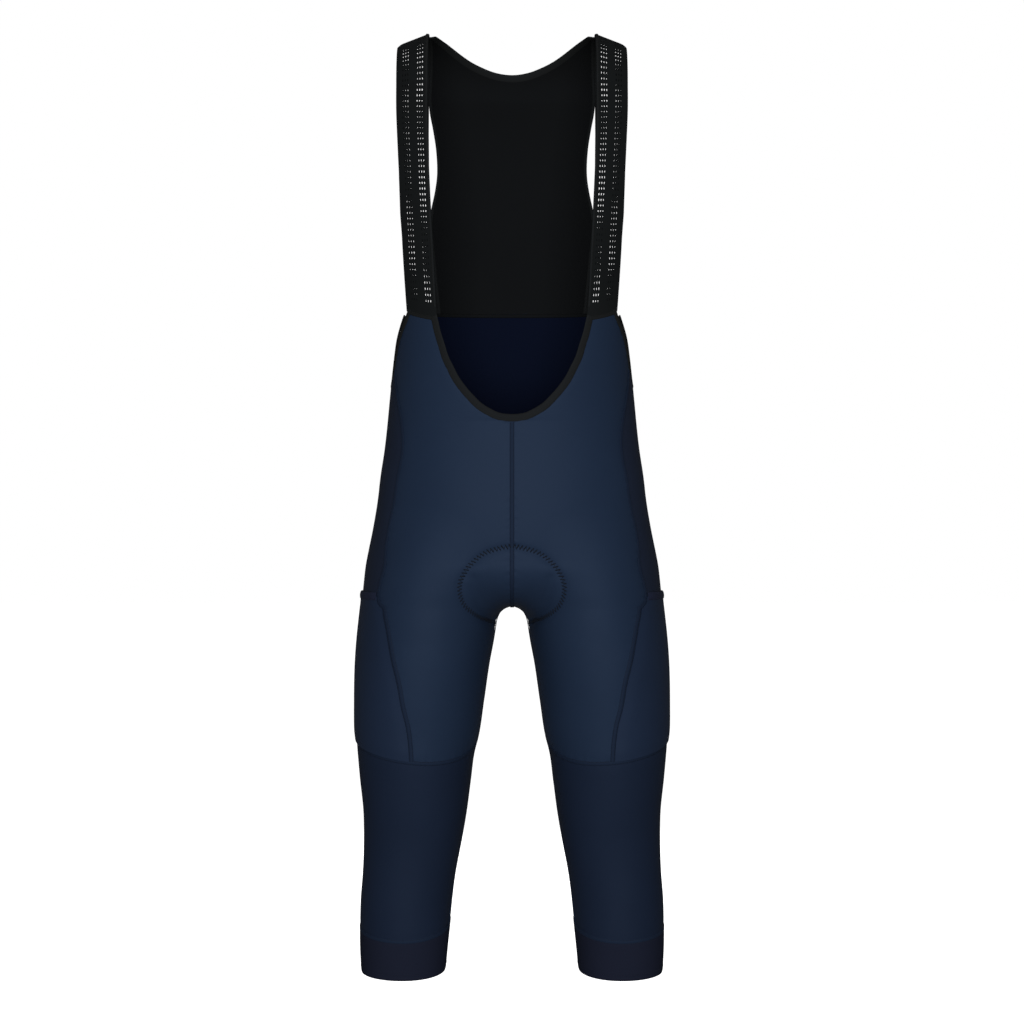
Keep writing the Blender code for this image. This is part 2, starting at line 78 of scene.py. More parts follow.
TRUNK = table(
    "height half_width front back",
    (-60, 152, -76, 77),
    (-100, 156, -88, 90),
    (-150, 157, -98, 98),
    (-200, 151, -104, 100),
    (-260, 141, -107, 94),
    (-320, 136.5, -107, 86),
    (-350, 136.5, -105, 84),
    (-387, 137.6, -103.5, 85),
    (-422, 140.9, -104, 90),
    (-474, 146.4, -106, 104),
    (-508, 151.4, -107, 114),
    (-543, 154.3, -107, 120),
    (-577, 155.4, -105, 120),
    (-600, 155.4, -102, 115),
)
LEG = table(
    "height outer inner front back",
    (-520, 134, 2, -60, 70),
    (-560, 150, 4, -84, 98),
    (-600, 163.2, 7, -95, 111),
    (-640, 170.8, 13, -97, 105),
    (-669, 174.2, 17.6, -96, 98),
    (-692, 176.4, 21.2, -94, 93),
    (-715, 177.9, 25.6, -92, 89),
    (-761, 179.0, 32.4, -86, 82),
    (-804, 178.5, 39.1, -79, 74),
    (-819, 177.2, 43.0, -77, 71),
    (-853, 174.2, 47.7, -70, 67),
    (-888, 170.8, 52.3, -62, 66),
    (-922, 170.4, 58, -54, 67),
    (-957, 171.8, 64.4, -48, 68),
    (-991, 174.6, 69, -44, 67),
    (-1020, 175.2, 71.6, -41, 65),
    (-1043, 174.8, 74.2, -39, 62),
    (-1072, 173.6, 76.6, -37, 59),
    (-1090, 172.6, 77.4, -36, 58),
)
ARCH_FOOT, TRUNK_FLOOR, CROTCH = -60 * MM, -600 * MM, -650.5 * MM
# A power of 2 is an ellipse, and a higher one makes its corners fuller.
TRUNK_POWER, FLOOR_POWER, LEG_POWER, FLOOR_EASE = 2.45, 2.3, 2.15, 0.85
BLEND, LEG_BLEND = 22 * MM, 15 * MM
print("sections:", len(TRUNK["height"]), "of the trunk,", len(LEG["height"]), "of a leg")


def read(tab, column, height):
    """A column of a table at these heights, by a smooth curve."""
    heights, values = tab["height"], tab[column]
    height = np.clip(height, heights[0], heights[-1])
    i = np.clip(np.searchsorted(heights, height) - 1, 0, len(heights) - 2)
    slope = np.gradient(values, heights)
    step = heights[i + 1] - heights[i]
    t = (height - heights[i]) / step
    return (
        values[i] * (1 + 2 * t) * (1 - t) ** 2
        + values[i + 1] * t * t * (3 - 2 * t)
        + step * (slope[i] * t * (1 - t) ** 2 + slope[i + 1] * t * t * (t - 1))
    )


def oval(x, y, half_width, front, back, power):
    """How far out a point lies, where 1 is on the oval, and the oval's size."""
    depth = np.where(y < 0, -front, back)
    out = (np.abs(x / half_width) ** power + np.abs(y / depth) ** power) ** (1 / power)
    return out, np.minimum(half_width, depth)


def trunk_gap(x, y, z):
    """Distance to the trunk, whose floor is rounded off down to the crotch."""
    level = np.clip(z, TRUNK_FLOOR, ARCH_FOOT)
    sides = [read(TRUNK, name, level) for name in ("half_width", "front", "back")]
    out, size = oval(x, y, *sides, TRUNK_POWER)
    height = TRUNK_FLOOR - CROTCH
    down = np.maximum(TRUNK_FLOOR - z, 0) / height
    out = (out**FLOOR_POWER + down**FLOOR_POWER) ** (1 / FLOOR_POWER)
    ease = np.clip(down / FLOOR_EASE, 0, 1)
    ease = ease * ease * (3 - 2 * ease)
    return (out - 1) * (size + (np.minimum(size, height) - size) * ease)


def leg_gap(x, y, z):
    """Distance to the leg at the positive side."""
    outer, inner, front, back = (
        read(LEG, name, z) for name in ("outer", "inner", "front", "back")
    )
    middle = (front + back) / 2
    out, size = oval(
        x - (outer + inner) / 2,
        y - middle,
        (outer - inner) / 2,
        front - middle,
        back - middle,
        LEG_POWER,
    )
    above = np.maximum(z - LEG["height"][-1], 0)
    gap = (out - 1) * size
    return np.where(above > 0, np.hypot(np.maximum(gap, 0), above), gap)


def joined(a, b, reach):
    """The nearer of two distances, rounded where they are about the same."""
    near = np.maximum(reach - np.abs(a - b), 0) / reach
    return np.minimum(a, b) - near * near * reach / 4


def gap(x, y, z):
    """Negative inside the form and 0 on the cloth."""
    legs = joined(leg_gap(x, y, z), leg_gap(-x, y, z), LEG_BLEND)
    return joined(legs, trunk_gap(x, y, z), BLEND)


def rise(p):
    """The slope of the gap at the points p, which points out of the form."""
    step = 0.4 * MM
    x, y, z = p[..., 0], p[..., 1], p[..., 2]
    ahead = (
        gap(x + step, y, z) - gap(x - step, y, z),
        gap(x, y + step, z) - gap(x, y - step, z),
        gap(x, y, z + step) - gap(x, y, z - step),
    )
    return np.stack(ahead, -1) / (2 * step)


def unit(v):
    return v / np.maximum(np.linalg.norm(v, axis=-1, keepdims=True), 1e-12)


# %% [markdown]
# A place on the form is given as on a tailor's dummy: how far round, and how
# high. Round is 0 at the middle of the front or at the inseam, a half at the
# side and 1 at the middle of the back. The outlines are measured once and kept.

# %% Round and height
LEVELS = np.concatenate(
    [np.arange(-1088, -660, 3.0), np.arange(-660, -640, 0.5), np.arange(-640, -306, 2.0)]
)
LEVELS = np.array(sorted(set(np.round(LEVELS, 3)))) * MM
ROUND = np.linspace(0, 1, 321)


def girths():
    """Half outlines at each level, evenly spaced along them, and their lengths."""
    outlines, lengths = [], []
    angle = np.linspace(-math.pi, math.pi, 1441)
    for z in LEVELS:
        cx = (read(LEG, "inner", z) + read(LEG, "outer", z)) / 2
        cx = 60 * MM if z > -550 * MM else cx
        near = np.zeros(angle.size)
        far = np.minimum(0.3, cx / np.maximum(-np.cos(angle), 1e-6))
        for _ in range(30):
            mid = (near + far) / 2
            at = (cx + np.cos(angle) * mid, np.sin(angle) * mid)
            inside = gap(*at, np.full(angle.size, z)) < 0
            near, far = np.where(inside, mid, near), np.where(inside, far, mid)
        x, y = cx + np.cos(angle) * near, np.sin(angle) * near
        if x.min() < 1e-6:
            x, y = x[x > 1e-6], y[x > 1e-6]
            x, y = np.r_[0, x, 0], np.r_[y[0], y, y[-1]]
        length = np.r_[0, np.cumsum(np.hypot(np.diff(x), np.diff(y)))]
        at = ROUND * length[-1]
        outlines.append(np.stack([np.interp(at, length, x), np.interp(at, length, y)], -1))
        lengths.append(length[-1])
    return np.array(outlines), np.array(lengths)


OUTLINES, GIRTHS = girths()


def body(around, height):
    """Points of the form and their normals, at round and height in mm."""
    around, z = np.broadcast_arrays(
        np.asarray(around, float), np.asarray(height, float) * MM
    )
    i = np.clip(np.searchsorted(LEVELS, z) - 1, 0, len(LEVELS) - 2)
    t = ((z - LEVELS[i]) / (LEVELS[i + 1] - LEVELS[i]))[..., None]
    place = np.mod(around, 1) * (len(ROUND) - 1)
    place = np.where((around >= 1) & (around < 1.0000001), len(ROUND) - 1, place)
    j = np.clip(place.astype(int), 0, len(ROUND) - 2)
    f = (place - j)[..., None]
    low = (1 - f) * OUTLINES[i, j] + f * OUTLINES[i, j + 1]
    high = (1 - f) * OUTLINES[i + 1, j] + f * OUTLINES[i + 1, j + 1]
    p = np.concatenate([(1 - t) * low + t * high, z[..., None]], -1)
    return p, unit(rise(p))


def girth(height):
    return np.interp(np.asarray(height) * MM, LEVELS, GIRTHS)


print("waist:", round(2000 * girth(-350)), "mm round, calf:", round(1000 * girth(-1050)))

# %% [markdown]
# Over the shoulders there is no closed section, so a second way of measuring is
# used there: how far to the side, and how far over the shoulder, where -1 to 1
# is the rounding with 0 on its top, and each 1 more is 100 mm down.

# %% Over the shoulder


# The shoulder is level on top, then slopes, and turns down at its outer corner.
RIDGE_TOP, SLOPE_FROM, RIDGE_SLOPE = 3.5 * MM, 96 * MM, 0.376
CORNER_FROM, CORNER_TURN = 125.5 * MM, 0.07
DROP = 0.1


def ridge(x):
    """Height of the top of the shoulder."""
    corner = np.maximum(np.abs(x) - CORNER_FROM, 0) ** 2 / MM
    slope = np.maximum(np.abs(x) - SLOPE_FROM, 0)
    return RIDGE_TOP - RIDGE_SLOPE * slope - CORNER_TURN * corner


def over_point(x, q):
    """Points of the form at x, in metres, and q over the shoulder."""
    x, q = np.broadcast_arrays(np.asarray(x, float), np.asarray(q, float))
    turn = (1 - np.minimum(np.abs(q), 1)) * math.pi / 2
    z = np.where(
        np.abs(q) > 1,
        ARCH_FOOT - (np.abs(q) - 1) * DROP,
        ARCH_FOOT + (ridge(x) - ARCH_FOOT) * np.sin(turn),
    )
    level = np.minimum(z, ARCH_FOOT)
    share = np.minimum(np.abs(x) / read(TRUNK, "half_width", level), 0.999)
    flat = (1 - share**TRUNK_POWER) ** (1 / TRUNK_POWER)
    depth = np.where(q < 0, read(TRUNK, "front", level), read(TRUNK, "back", level))
    return np.stack([x, depth * flat * np.cos(turn), z], -1)


def over(x, q):
    """Those points with their normals."""
    across = over_point(x + 1e-4, q) - over_point(x - 1e-4, q)
    along = over_point(x, q + 1e-3) - over_point(x, q - 1e-3)
    return over_point(x, q), unit(np.cross(across, along))


# %% [markdown]
# The padding's edge is sewn through the cloth between the legs. There the best
# measure is the turn round a hub in the hips, 0 to the front, 90 down and 180
# to the back, and the way along the cloth from the middle. The tables give both,
# in degrees and mm.

# %% Between the legs
PAD_HUB = np.array([0, 5, -560]) * MM
PAD_EDGE = (
    (12, 0), (12.5, 8), (13.5, 16), (16, 30), (20, 41), (26, 52), (32.5, 58), (37.5, 59),
    (43.5, 57), (49.5, 51), (56, 44), (67.5, 34), (85, 30), (102, 38), (120, 52),
    (135, 62), (150, 64), (165, 56), (176, 36), (181.4, 14), (182, 0),
)
PAD_HOLLOW = ((30, 44), (35.5, 43), (43, 40), (51.5, 37), (62, 33), (72, 30))


def under_crotch(turn, out):
    """Points and normals at these turns, and metres out from the middle."""
    turn = np.radians(np.asarray(turn, float))
    toward = np.stack([0 * turn, -np.cos(turn), -np.sin(turn)], -1)
    near, far = np.zeros(turn.size), np.full(turn.size, 0.25)
    for _ in range(30):
        mid = (near + far) / 2
        q = PAD_HUB + toward * mid[:, None]
        inside = gap(q[:, 0], q[:, 1], q[:, 2]) < 0
        near, far = np.where(inside, mid, near), np.where(inside, far, mid)
    p = PAD_HUB + toward * near[:, None]
    plane = np.cross([1, 0, 0], toward)
    ahead = np.tile([1.0, 0, 0], (turn.size, 1))
    path = [p]
    for _ in range(80):
        step = unit(np.cross(rise(p), plane))
        step *= np.sign((step * ahead).sum(1, keepdims=True))
        p, ahead = p + step * MM, step
        for _ in range(2):
            n = rise(p)
            n -= (n * plane).sum(1, keepdims=True) * plane
            off = gap(p[:, 0], p[:, 1], p[:, 2]) / (n * n).sum(1)
            p = p - n * off[:, None]
        path.append(p)
    path = np.array(path)
    at = np.clip(out / MM, 0, 79.99)
    i, f = at.astype(int), (at % 1)[..., None]
    row = np.arange(turn.size)[:, None]
    p = path[i, row] * (1 - f) + path[i + 1, row] * f
    return p, unit(rise(p))


# %% [markdown]
# Materials come next. Each is named for the real cloth, save the panels' inside,
# whose dark navy is painted shade. Its colours are the hex values of a screen,
# and a pattern's scale is worked out from real sizes.
# The cloth's own UV map is in metres, so a pattern follows the knitting.

# %% Colour and nodes


def screen(hex_value):
    """A screen's hex colour as Blender's linear one."""
    parts = [int(hex_value[i : i + 2], 16) / 255 for i in (1, 3, 5)]
    linear = [c / 12.92 if c <= 0.04045 else ((c + 0.055) / 1.055) ** 2.4 for c in parts]
    return (*linear, 1)


def add_node(material, kind, links=None, **settings):
    """A node with its settings, whose named inputs come from links or values."""
    tree = material.node_tree
    node = tree.nodes.new(kind)
    for name, value in settings.items():
        setattr(node, name, value)
    for name, source in (links or {}).items():
        socket = node.inputs[name]
        if isinstance(source, bpy.types.NodeSocket):
            tree.links.new(source, socket)
        else:
            socket.default_value = source
    return node


def new_material(name, **shader_values):
    """A material and its shader, with named inputs set."""
    material = bpy.data.materials.new(name)
    material.use_nodes = True
    shader = material.node_tree.nodes["Principled BSDF"]
    for key, value in shader_values.items():
        shader.inputs[key.replace("_", " ")].default_value = value
    return material, shader


# %% [markdown]
# Knitted stretch cloth shows fine upright ribs, the wales. Real ones are about
# 0.5 mm apart, too fine to show in this picture, so they are drawn 1.2 mm apart.
# Smooth nylon threads give it a weak, broad and slightly blue shine.

# %% Knitted cloth
# At this scale a wave texture has one wave in each unit of its coordinates.
ONE_WAVE = 0.3183
CLOUDY = 0.25


def knit(name, colour, dark, roughness, wale=1.2, relief=0.12, shine=0.12):
    """Knitted cloth, with its light and dark colour and the wale's width in mm."""
    material, shader = new_material(name, Roughness=roughness)
    shader.inputs["Specular IOR Level"].default_value = shine
    shader.inputs["Specular Tint"].default_value = screen("#AEC4E8")
    uv = add_node(material, "ShaderNodeUVMap")
    # One course of loops is as tall as a wale is wide, and each loop is a small V.
    size = add_node(
        material, "ShaderNodeMapping", {"Vector": uv.outputs[0], "Scale": (1000 / wale,) * 3}
    )
    wales = add_node(
        material,
        "ShaderNodeTexWave",
        {
            "Vector": size.outputs[0], "Scale": ONE_WAVE, "Distortion": 0.35,
            "Detail": 1.0, "Detail Scale": 2.0,
        },
        bands_direction="X",
    )
    courses = add_node(
        material,
        "ShaderNodeTexWave",
        {"Vector": size.outputs[0], "Scale": ONE_WAVE, "Distortion": 0.5, "Detail": 1.0},
        bands_direction="Y",
    )
    loops = add_node(
        material,
        "ShaderNodeMath",
        {0: wales.outputs["Fac"], 1: courses.outputs["Fac"]},
        operation="MULTIPLY",
    )
    place = add_node(material, "ShaderNodeTexCoord")
    cloud = add_node(
        material,
        "ShaderNodeTexNoise",
        {"Vector": place.outputs["Object"], "Scale": 14, "Detail": 4, "Roughness": 0.6},
    )
    fibre = add_node(
        material,
        "ShaderNodeTexNoise",
        {"Vector": size.outputs[0], "Scale": 1.6, "Detail": 2},
    )
    mix_in = add_node(
        material,
        "ShaderNodeMath",
        {0: cloud.outputs["Fac"], 1: CLOUDY, 2: 0.5 - CLOUDY / 2},
        operation="MULTIPLY_ADD",
    )
    tone = add_node(
        material,
        "ShaderNodeMath",
        {0: loops.outputs[0], 1: 0.45, 2: mix_in.outputs[0]},
        operation="MULTIPLY_ADD",
    )
    colours = add_node(
        material,
        "ShaderNodeMix",
        {"Factor": tone.outputs[0], "A": screen(dark), "B": screen(colour)},
        data_type="RGBA",
    )
    tree = material.node_tree
    tree.links.new(colours.outputs["Result"], shader.inputs["Base Color"])
    height = add_node(
        material,
        "ShaderNodeMath",
        {0: fibre.outputs["Fac"], 1: 0.35, 2: loops.outputs[0]},
        operation="MULTIPLY_ADD",
    )
    bump = add_node(
        material,
        "ShaderNodeBump",
        {"Height": height.outputs[0], "Strength": 0.5, "Distance": relief * MM},
    )
    tree.links.new(bump.outputs["Normal"], shader.inputs["Normal"])
    rough = add_node(
        material,
        "ShaderNodeMapRange",
        {"Value": cloud.outputs["Fac"], "To Min": roughness - 0.04, "To Max": roughness + 0.06},
    )
    tree.links.new(rough.outputs["Result"], shader.inputs["Roughness"])
    return material


NAVY = knit("navy_warp_knit", "#28374F", "#1A2537", 0.5)
LOWER_NAVY = knit("navy_brushed_knit", "#212C42", "#161E2C", 0.55)
SIDE_NAVY = knit("navy_side_knit", "#262F43", "#191F2C", 0.55)
POCKET_NAVY = knit("navy_pocket_knit", "#27344C", "#1A2435", 0.5)
SEAM_KNIT = knit("navy_seam_loops", "#222E44", "#161F2E", 0.6, wale=0.9, relief=0.2)
HEM_NAVY = knit("navy_hem_knit", "#2A3046", "#1C2030", 0.55)
# Painted shade: the panels' inside is given a much darker navy than their outside, standing in for
# the shadow inside the garment.
INSIDE_NAVY_PAINTED_SHADE = knit("navy_inside_painted_shade_knit", "#10162A", "#0A0F1C", 0.8, shine=0.03)
BLACK = knit("black_warp_knit", "#1A1B1C", "#0F1010", 0.7, relief=0.1, shine=0.04)
CUFF_KNIT = knit("dull_gripper_knit", "#232738", "#181B27", 0.75, wale=1.6, shine=0.08)
STRAP_BAND = knit("black_strap_band", "#1F2121", "#131414", 0.65, 1.1, 0.2, shine=0.08)
TAPE = knit("black_binding_tape", "#242525", "#181918", 0.65, 1.0, 0.15, shine=0.1)
PAD_CLOTH = knit("brushed_pad_cloth", "#222B42", "#171E2E", 0.85, relief=0.2, shine=0.05)

# %% [markdown]
# Polyester sewing thread is spun and dull, so a single colour with little shine
# does for it. Its stitches are modelled, and they catch the light by their shape.

# %% Thread


def thread(name, colour, roughness=0.55):
    return new_material(
        name, Roughness=roughness, Base_Color=screen(colour), Specular_IOR_Level=0.15
    )[0]


THREAD_NAVY = thread("navy_polyester_thread", "#192132")
THREAD_PAD = thread("dark_navy_polyester_thread", "#0F1520", 0.6)
THREAD_BLACK = thread("black_polyester_thread", "#1A1B1B")
print("materials:", len(bpy.data.materials))

# %% [markdown]
# A panel starts as a flat grid of cloth. Its points are then moved onto the
# form, Solidify gives it the wall, and each side's piece rides on the one body.
# Its UV map keeps the flat size, so that the knit isn't stretched.

# %% Cut and lay a panel


def clear_selection():
    """Nothing selected, because an operator acts on all that is."""
    bpy.ops.object.select_all(action="DESELECT")


def take(obj):
    """Only this object selected, and active."""
    clear_selection()
    obj.select_set(True)
    bpy.context.view_layer.objects.active = obj


def apply_all(obj):
    take(obj)
    for modifier in list(obj.modifiers):
        bpy.ops.object.modifier_apply(modifier=modifier.name)


def points_of(obj):
    co = np.empty(len(obj.data.vertices) * 3, np.float32)
    obj.data.vertices.foreach_get("co", co)
    return co.reshape(-1, 3).astype(float)


def set_points(obj, p):
    obj.data.vertices.foreach_set("co", p.reshape(-1, 3).ravel())
    obj.data.update()


def set_materials(obj, *materials):
    obj.data.materials.clear()
    for material in materials:
        obj.data.materials.append(material)


def grid_at(name, p):
    """A grid primitive whose vertices are moved to the points p."""
    rows, cols = p.shape[:2]
    clear_selection()
    bpy.ops.mesh.primitive_grid_add(x_subdivisions=cols - 1, y_subdivisions=rows - 1, size=1)
    obj = bpy.context.object
    obj.name = name
    set_points(obj, p)
    return obj


def flip_faces(obj):
    take(obj)
    bpy.ops.object.mode_set(mode="EDIT")
    bpy.ops.mesh.select_all(action="SELECT")
    bpy.ops.mesh.flip_normals()
    bpy.ops.object.mode_set(mode="OBJECT")


def set_flat(obj, points_uv):
    """Writes the flat place of each vertex, in metres, as the UV map."""
    layer = obj.data.uv_layers.active or obj.data.uv_layers.new(name="flat")
    index = np.empty(len(obj.data.loops), np.int32)
    obj.data.loops.foreach_get("vertex_index", index)
    layer.data.foreach_set("uv", np.asarray(points_uv, np.float32)[index].ravel())


def flat_size(p):
    """Lengths along the rows and down the columns of a grid of points."""
    along = np.linalg.norm(np.diff(p, axis=1), axis=2)
    down = np.linalg.norm(np.diff(p, axis=0), axis=2)
    u = np.concatenate([np.zeros((p.shape[0], 1)), np.cumsum(along, 1)], 1)
    v = np.concatenate([np.zeros((1, p.shape[1])), np.cumsum(down, 0)], 0)
    return u - u.mean(1, keepdims=True), v


def lay_cloth(name, p, n, material, thick=1.0 * MM, tube=False, mirror=1, inside=None):
    """A grid of cloth with its outer side at the points p."""
    outer = p * (mirror, 1, 1)
    obj = grid_at(name, outer)
    u, v = flat_size(p)
    set_flat(obj, np.stack([u, v], -1).reshape(-1, 2))
    facing = np.cross(outer[0, 1] - outer[0, 0], outer[1, 0] - outer[0, 0])
    bpy.ops.object.mode_set(mode="EDIT")
    bpy.ops.mesh.select_all(action="SELECT")
    if np.dot(facing, n[0, 0] * (mirror, 1, 1)) < 0:
        bpy.ops.mesh.flip_normals()
    if tube:
        bpy.ops.mesh.remove_doubles(threshold=0.01 * MM)
    bpy.ops.object.mode_set(mode="OBJECT")
    set_materials(obj, material, *([inside] if inside else []))
    wall = obj.modifiers.new("wall", "SOLIDIFY")
    wall.thickness, wall.offset = thick, -1
    wall.material_offset = 1 if inside else 0
    apply_all(obj)
    bpy.ops.object.shade_smooth_by_angle(angle=math.radians(60))
    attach(obj, "root")
    return obj


# %% [markdown]
# The seam lines were read off the photograph once and are kept as round and
# height. The same lines bound the rigid model's pieces, so each cloth panel
# covers the piece of the same name.

# %% Seam lines
SCOOP = (
    (0.2425, -328.7), (0.2306, -347.5), (0.2187, -360.7), (0.2072, -373.7),
    (0.1902, -385.9), (0.1735, -397.2), (0.1494, -409.3), (0.1248, -419.6),
    (0.1, -428.9), (0.0696, -436.4), (0.043, -441.3), (0.0178, -443.2), (0, -443.5),
)
ARM_FRONT = ((0.3255, -321.3), (0.343, -331), (0.368, -342), (0.395, -357), (0.414, -371))
ARM_FOOT, ARM_MIDDLE, ARM_BEND = -403.2, 0.488, 5500
ARM_UNDER = tuple(
    (r, ARM_FOOT + ARM_BEND * (r - ARM_MIDDLE) ** 2) for r in np.linspace(0.425, 0.55, 11)
)
ARM_BACK = ((0.572, -368), (0.598, -348), (0.628, -330), (0.655, -313.8))
SIDE_FRONT = (
    (0.425, -381.4), (0.412, -396), (0.385, -414), (0.345, -441.4), (0.3225, -469.7),
    (0.3245, -513.5), (0.328, -541.6), (0.3315, -563), (0.3294, -584.4), (0.3215, -606),
    (0.335, -626), (0.343, -640), (0.3285, -677.3), (0.3129, -708.4), (0.2971, -731.8),
    (0.2848, -755.2), (0.2728, -772), (0.2640, -794), (0.2620, -804),
)
SIDE_BACK = (
    (0.55, -382.1), (0.57, -400), (0.605, -430), (0.635, -470), (0.655, -520),
    (0.662, -560), (0.66, -600), (0.658, -640), (0.668, -690), (0.69, -740),
    (0.715, -780), (0.73, -804),
)
SCOOP_FOOT = SCOOP[-1][1]
WAIST_SEAM, KNEE, CUFF_SEAM, HEM = -313.5, -804, -1020.5, -1072.5
KNEE_DIP, CUFF_DIP, HEM_DIP, KNEE_ROWS_FROM = 23, 12.5, 5.5, -692
ROUND_SCALE = 400


def smooth_line(points, count):
    """A smooth run of points through these, evenly spaced once round is scaled to mm."""
    points = np.asarray(points, float)
    scale = np.array([float(ROUND_SCALE)] + [1.0] * (points.shape[1] - 1))
    length = np.r_[0, np.cumsum(np.linalg.norm(np.diff(points * scale, axis=0), axis=1))]
    slope = np.gradient(points, length, axis=0)
    at = np.linspace(0, length[-1], count)
    i = np.clip(np.searchsorted(length, at) - 1, 0, len(length) - 2)
    step = (length[i + 1] - length[i])[:, None]
    t = ((at - length[i]) / (length[i + 1] - length[i]))[:, None]
    return (
        points[i] * (1 + 2 * t) * (1 - t) ** 2
        + points[i + 1] * t * t * (3 - 2 * t)
        + step * (slope[i] * t * (1 - t) ** 2 + slope[i + 1] * t * t * (t - 1))
    )


def curve(rows, height):
    """The round of a seam line at these heights, smoothed."""
    line = smooth_line(sorted((h / ROUND_SCALE, r * ROUND_SCALE) for r, h in rows), 400)
    return np.interp(height, line[:, 0] * ROUND_SCALE, line[:, 1] / ROUND_SCALE)


def dip(around, depth):
    """How far a seam round the leg turns down at the front and up behind, in mm."""
    turn = 2 * math.pi * np.asarray(around)
    return -depth * (np.sin(turn) + 0.12 * np.sin(2 * turn))


def knee_share(heights):
    """How much a row above the knee seam follows its dip, from 0 to 1."""
    far = KNEE_ROWS_FROM - np.asarray(heights, float)
    return np.clip(far / (KNEE_ROWS_FROM - KNEE), 0, 1) ** 1.4


print("front seam at the knee:", round(float(curve(SIDE_FRONT, KNEE)), 3), "round")


# %% [markdown]
# Two kinds of row make the panels. Down to the foot of the armhole each row has
# its own ends, and below that the rows lie level and turn down at the front as
# they come near the knee seam.

# %% Rows of the panels
LOWER = np.unique(
    np.r_[
        np.linspace(SCOOP_FOOT, -525, 24),
        np.linspace(-525, -620, 62),
        np.linspace(-620, -668, 42),
        np.linspace(-668, -804, 46),
    ]
)[::-1]


def ends(points, count):
    """Round and height of the rows' ends on a line."""
    line = smooth_line(points, count)
    return line[:, 0], line[:, 1]


def grid_between(left, right, columns, power=1.0, mirrored=False):
    """A grid of round and height whose rows run from left to right."""
    u = np.linspace(0, 1, columns) ** power
    u = (1 - u[::-1] if mirrored else u)[None, :]
    (ls, lh), (rs, rh) = left, right
    around = ls[:, None] + (rs - ls)[:, None] * u
    height = lh[:, None] + (rh - lh)[:, None] * u
    return around, height + knee_share(height) * dip(around, KNEE_DIP)


UPPER = 40
BELOW_ARM = (-396, -410, -425, -436, SCOOP_FOOT)
front_right = [(float(r), float(h)) for r, h in (*ARM_FRONT, ARM_UNDER[0])]
front_right += [(float(curve(SIDE_FRONT, h)), h) for h in BELOW_ARM]
left = ends(SCOOP, UPPER)
right = ends(front_right, UPPER)
left = (np.r_[left[0], 0 * LOWER[1:]], np.r_[left[1], LOWER[1:]])
right = (np.r_[right[0], curve(SIDE_FRONT, LOWER[1:])], np.r_[right[1], LOWER[1:]])
FRONT_GRID = grid_between(left, right, 64, 1.25)

back_edge = [(float(r), float(h)) for r, h in (*ARM_BACK[::-1], ARM_UNDER[-1])]
back_edge += [(float(curve(SIDE_BACK, h)), h) for h in BELOW_ARM]
left = ends(back_edge, UPPER)
right = (np.ones(UPPER), np.linspace(WAIST_SEAM - 0.2, SCOOP_FOOT, UPPER))
left = (np.r_[left[0], curve(SIDE_BACK, LOWER[1:])], np.r_[left[1], LOWER[1:]])
right = (np.r_[right[0], np.ones(LOWER.size - 1)], np.r_[right[1], LOWER[1:]])
BACK_GRID = grid_between(left, right, 64, 1.25, mirrored=True)

under = smooth_line(ARM_UNDER, 44)
u = (under[:, 0] - under[0, 0]) / (under[-1, 0] - under[0, 0])
down = np.linspace(0, 1, 26)[:, None]
height = under[None, :, 1] * (1 - down) + SCOOP_FOOT * down
low, high = curve(SIDE_FRONT, height[:, 0]), curve(SIDE_BACK, height[:, -1])
around = low[:, None] + (high - low)[:, None] * u[None, :]
low, high = curve(SIDE_FRONT, LOWER[1:]), curve(SIDE_BACK, LOWER[1:])
rest = low[:, None] + (high - low)[:, None] * u[None, :]
rest_height = LOWER[1:, None] + knee_share(LOWER[1:, None]) * dip(rest, KNEE_DIP)
SIDE_GRID = np.vstack([around, rest]), np.vstack([height, rest_height])
print("rows and columns:", FRONT_GRID[0].shape, BACK_GRID[0].shape, SIDE_GRID[0].shape)

# %% [markdown]
# Stretch cloth on a body isn't as smooth as paint. It dips and puckers beside
# a seam, because the thread holds it back, and it keeps a few long soft waves.
# The padding pushes it out between the legs, with a trough along its stitches.

# %% Relief of the cloth
PAD_BULGE, PAD_SWELL, PAD_TROUGH, PAD_DIP = 1.7, 3.6, 1.1, 2.0
WAVE_HEIGHT, RIPPLE, PULL = 0.11, 0.13, 0.35


def turn_line(points, count):
    """A smooth run through points of turn and mm out."""
    return (smooth_line(np.array(points) / (ROUND_SCALE, 1), count) * (ROUND_SCALE, 1)).T


PAD_TURN, PAD_HALF = turn_line(PAD_EDGE, 240)
PAD_HALF = np.maximum(PAD_HALF, 0)
edge_p, edge_n = under_crotch(PAD_TURN, PAD_HALF[:, None] * MM)
edge_p, edge_n = edge_p[:, 0], edge_n[:, 0]
hollow_turn, hollow_out = turn_line(PAD_HOLLOW, 60)
hollow_p = under_crotch(hollow_turn, hollow_out[:, None] * MM)[0][:, 0]


def nearest(points, line):
    """Distance from each point to a line of points."""
    flat = points.reshape(-1, 3)
    best = np.full(len(flat), 9.0)
    for q in line:
        best = np.minimum(best, ((flat - q) ** 2).sum(1))
    return np.sqrt(best).reshape(points.shape[:-1])


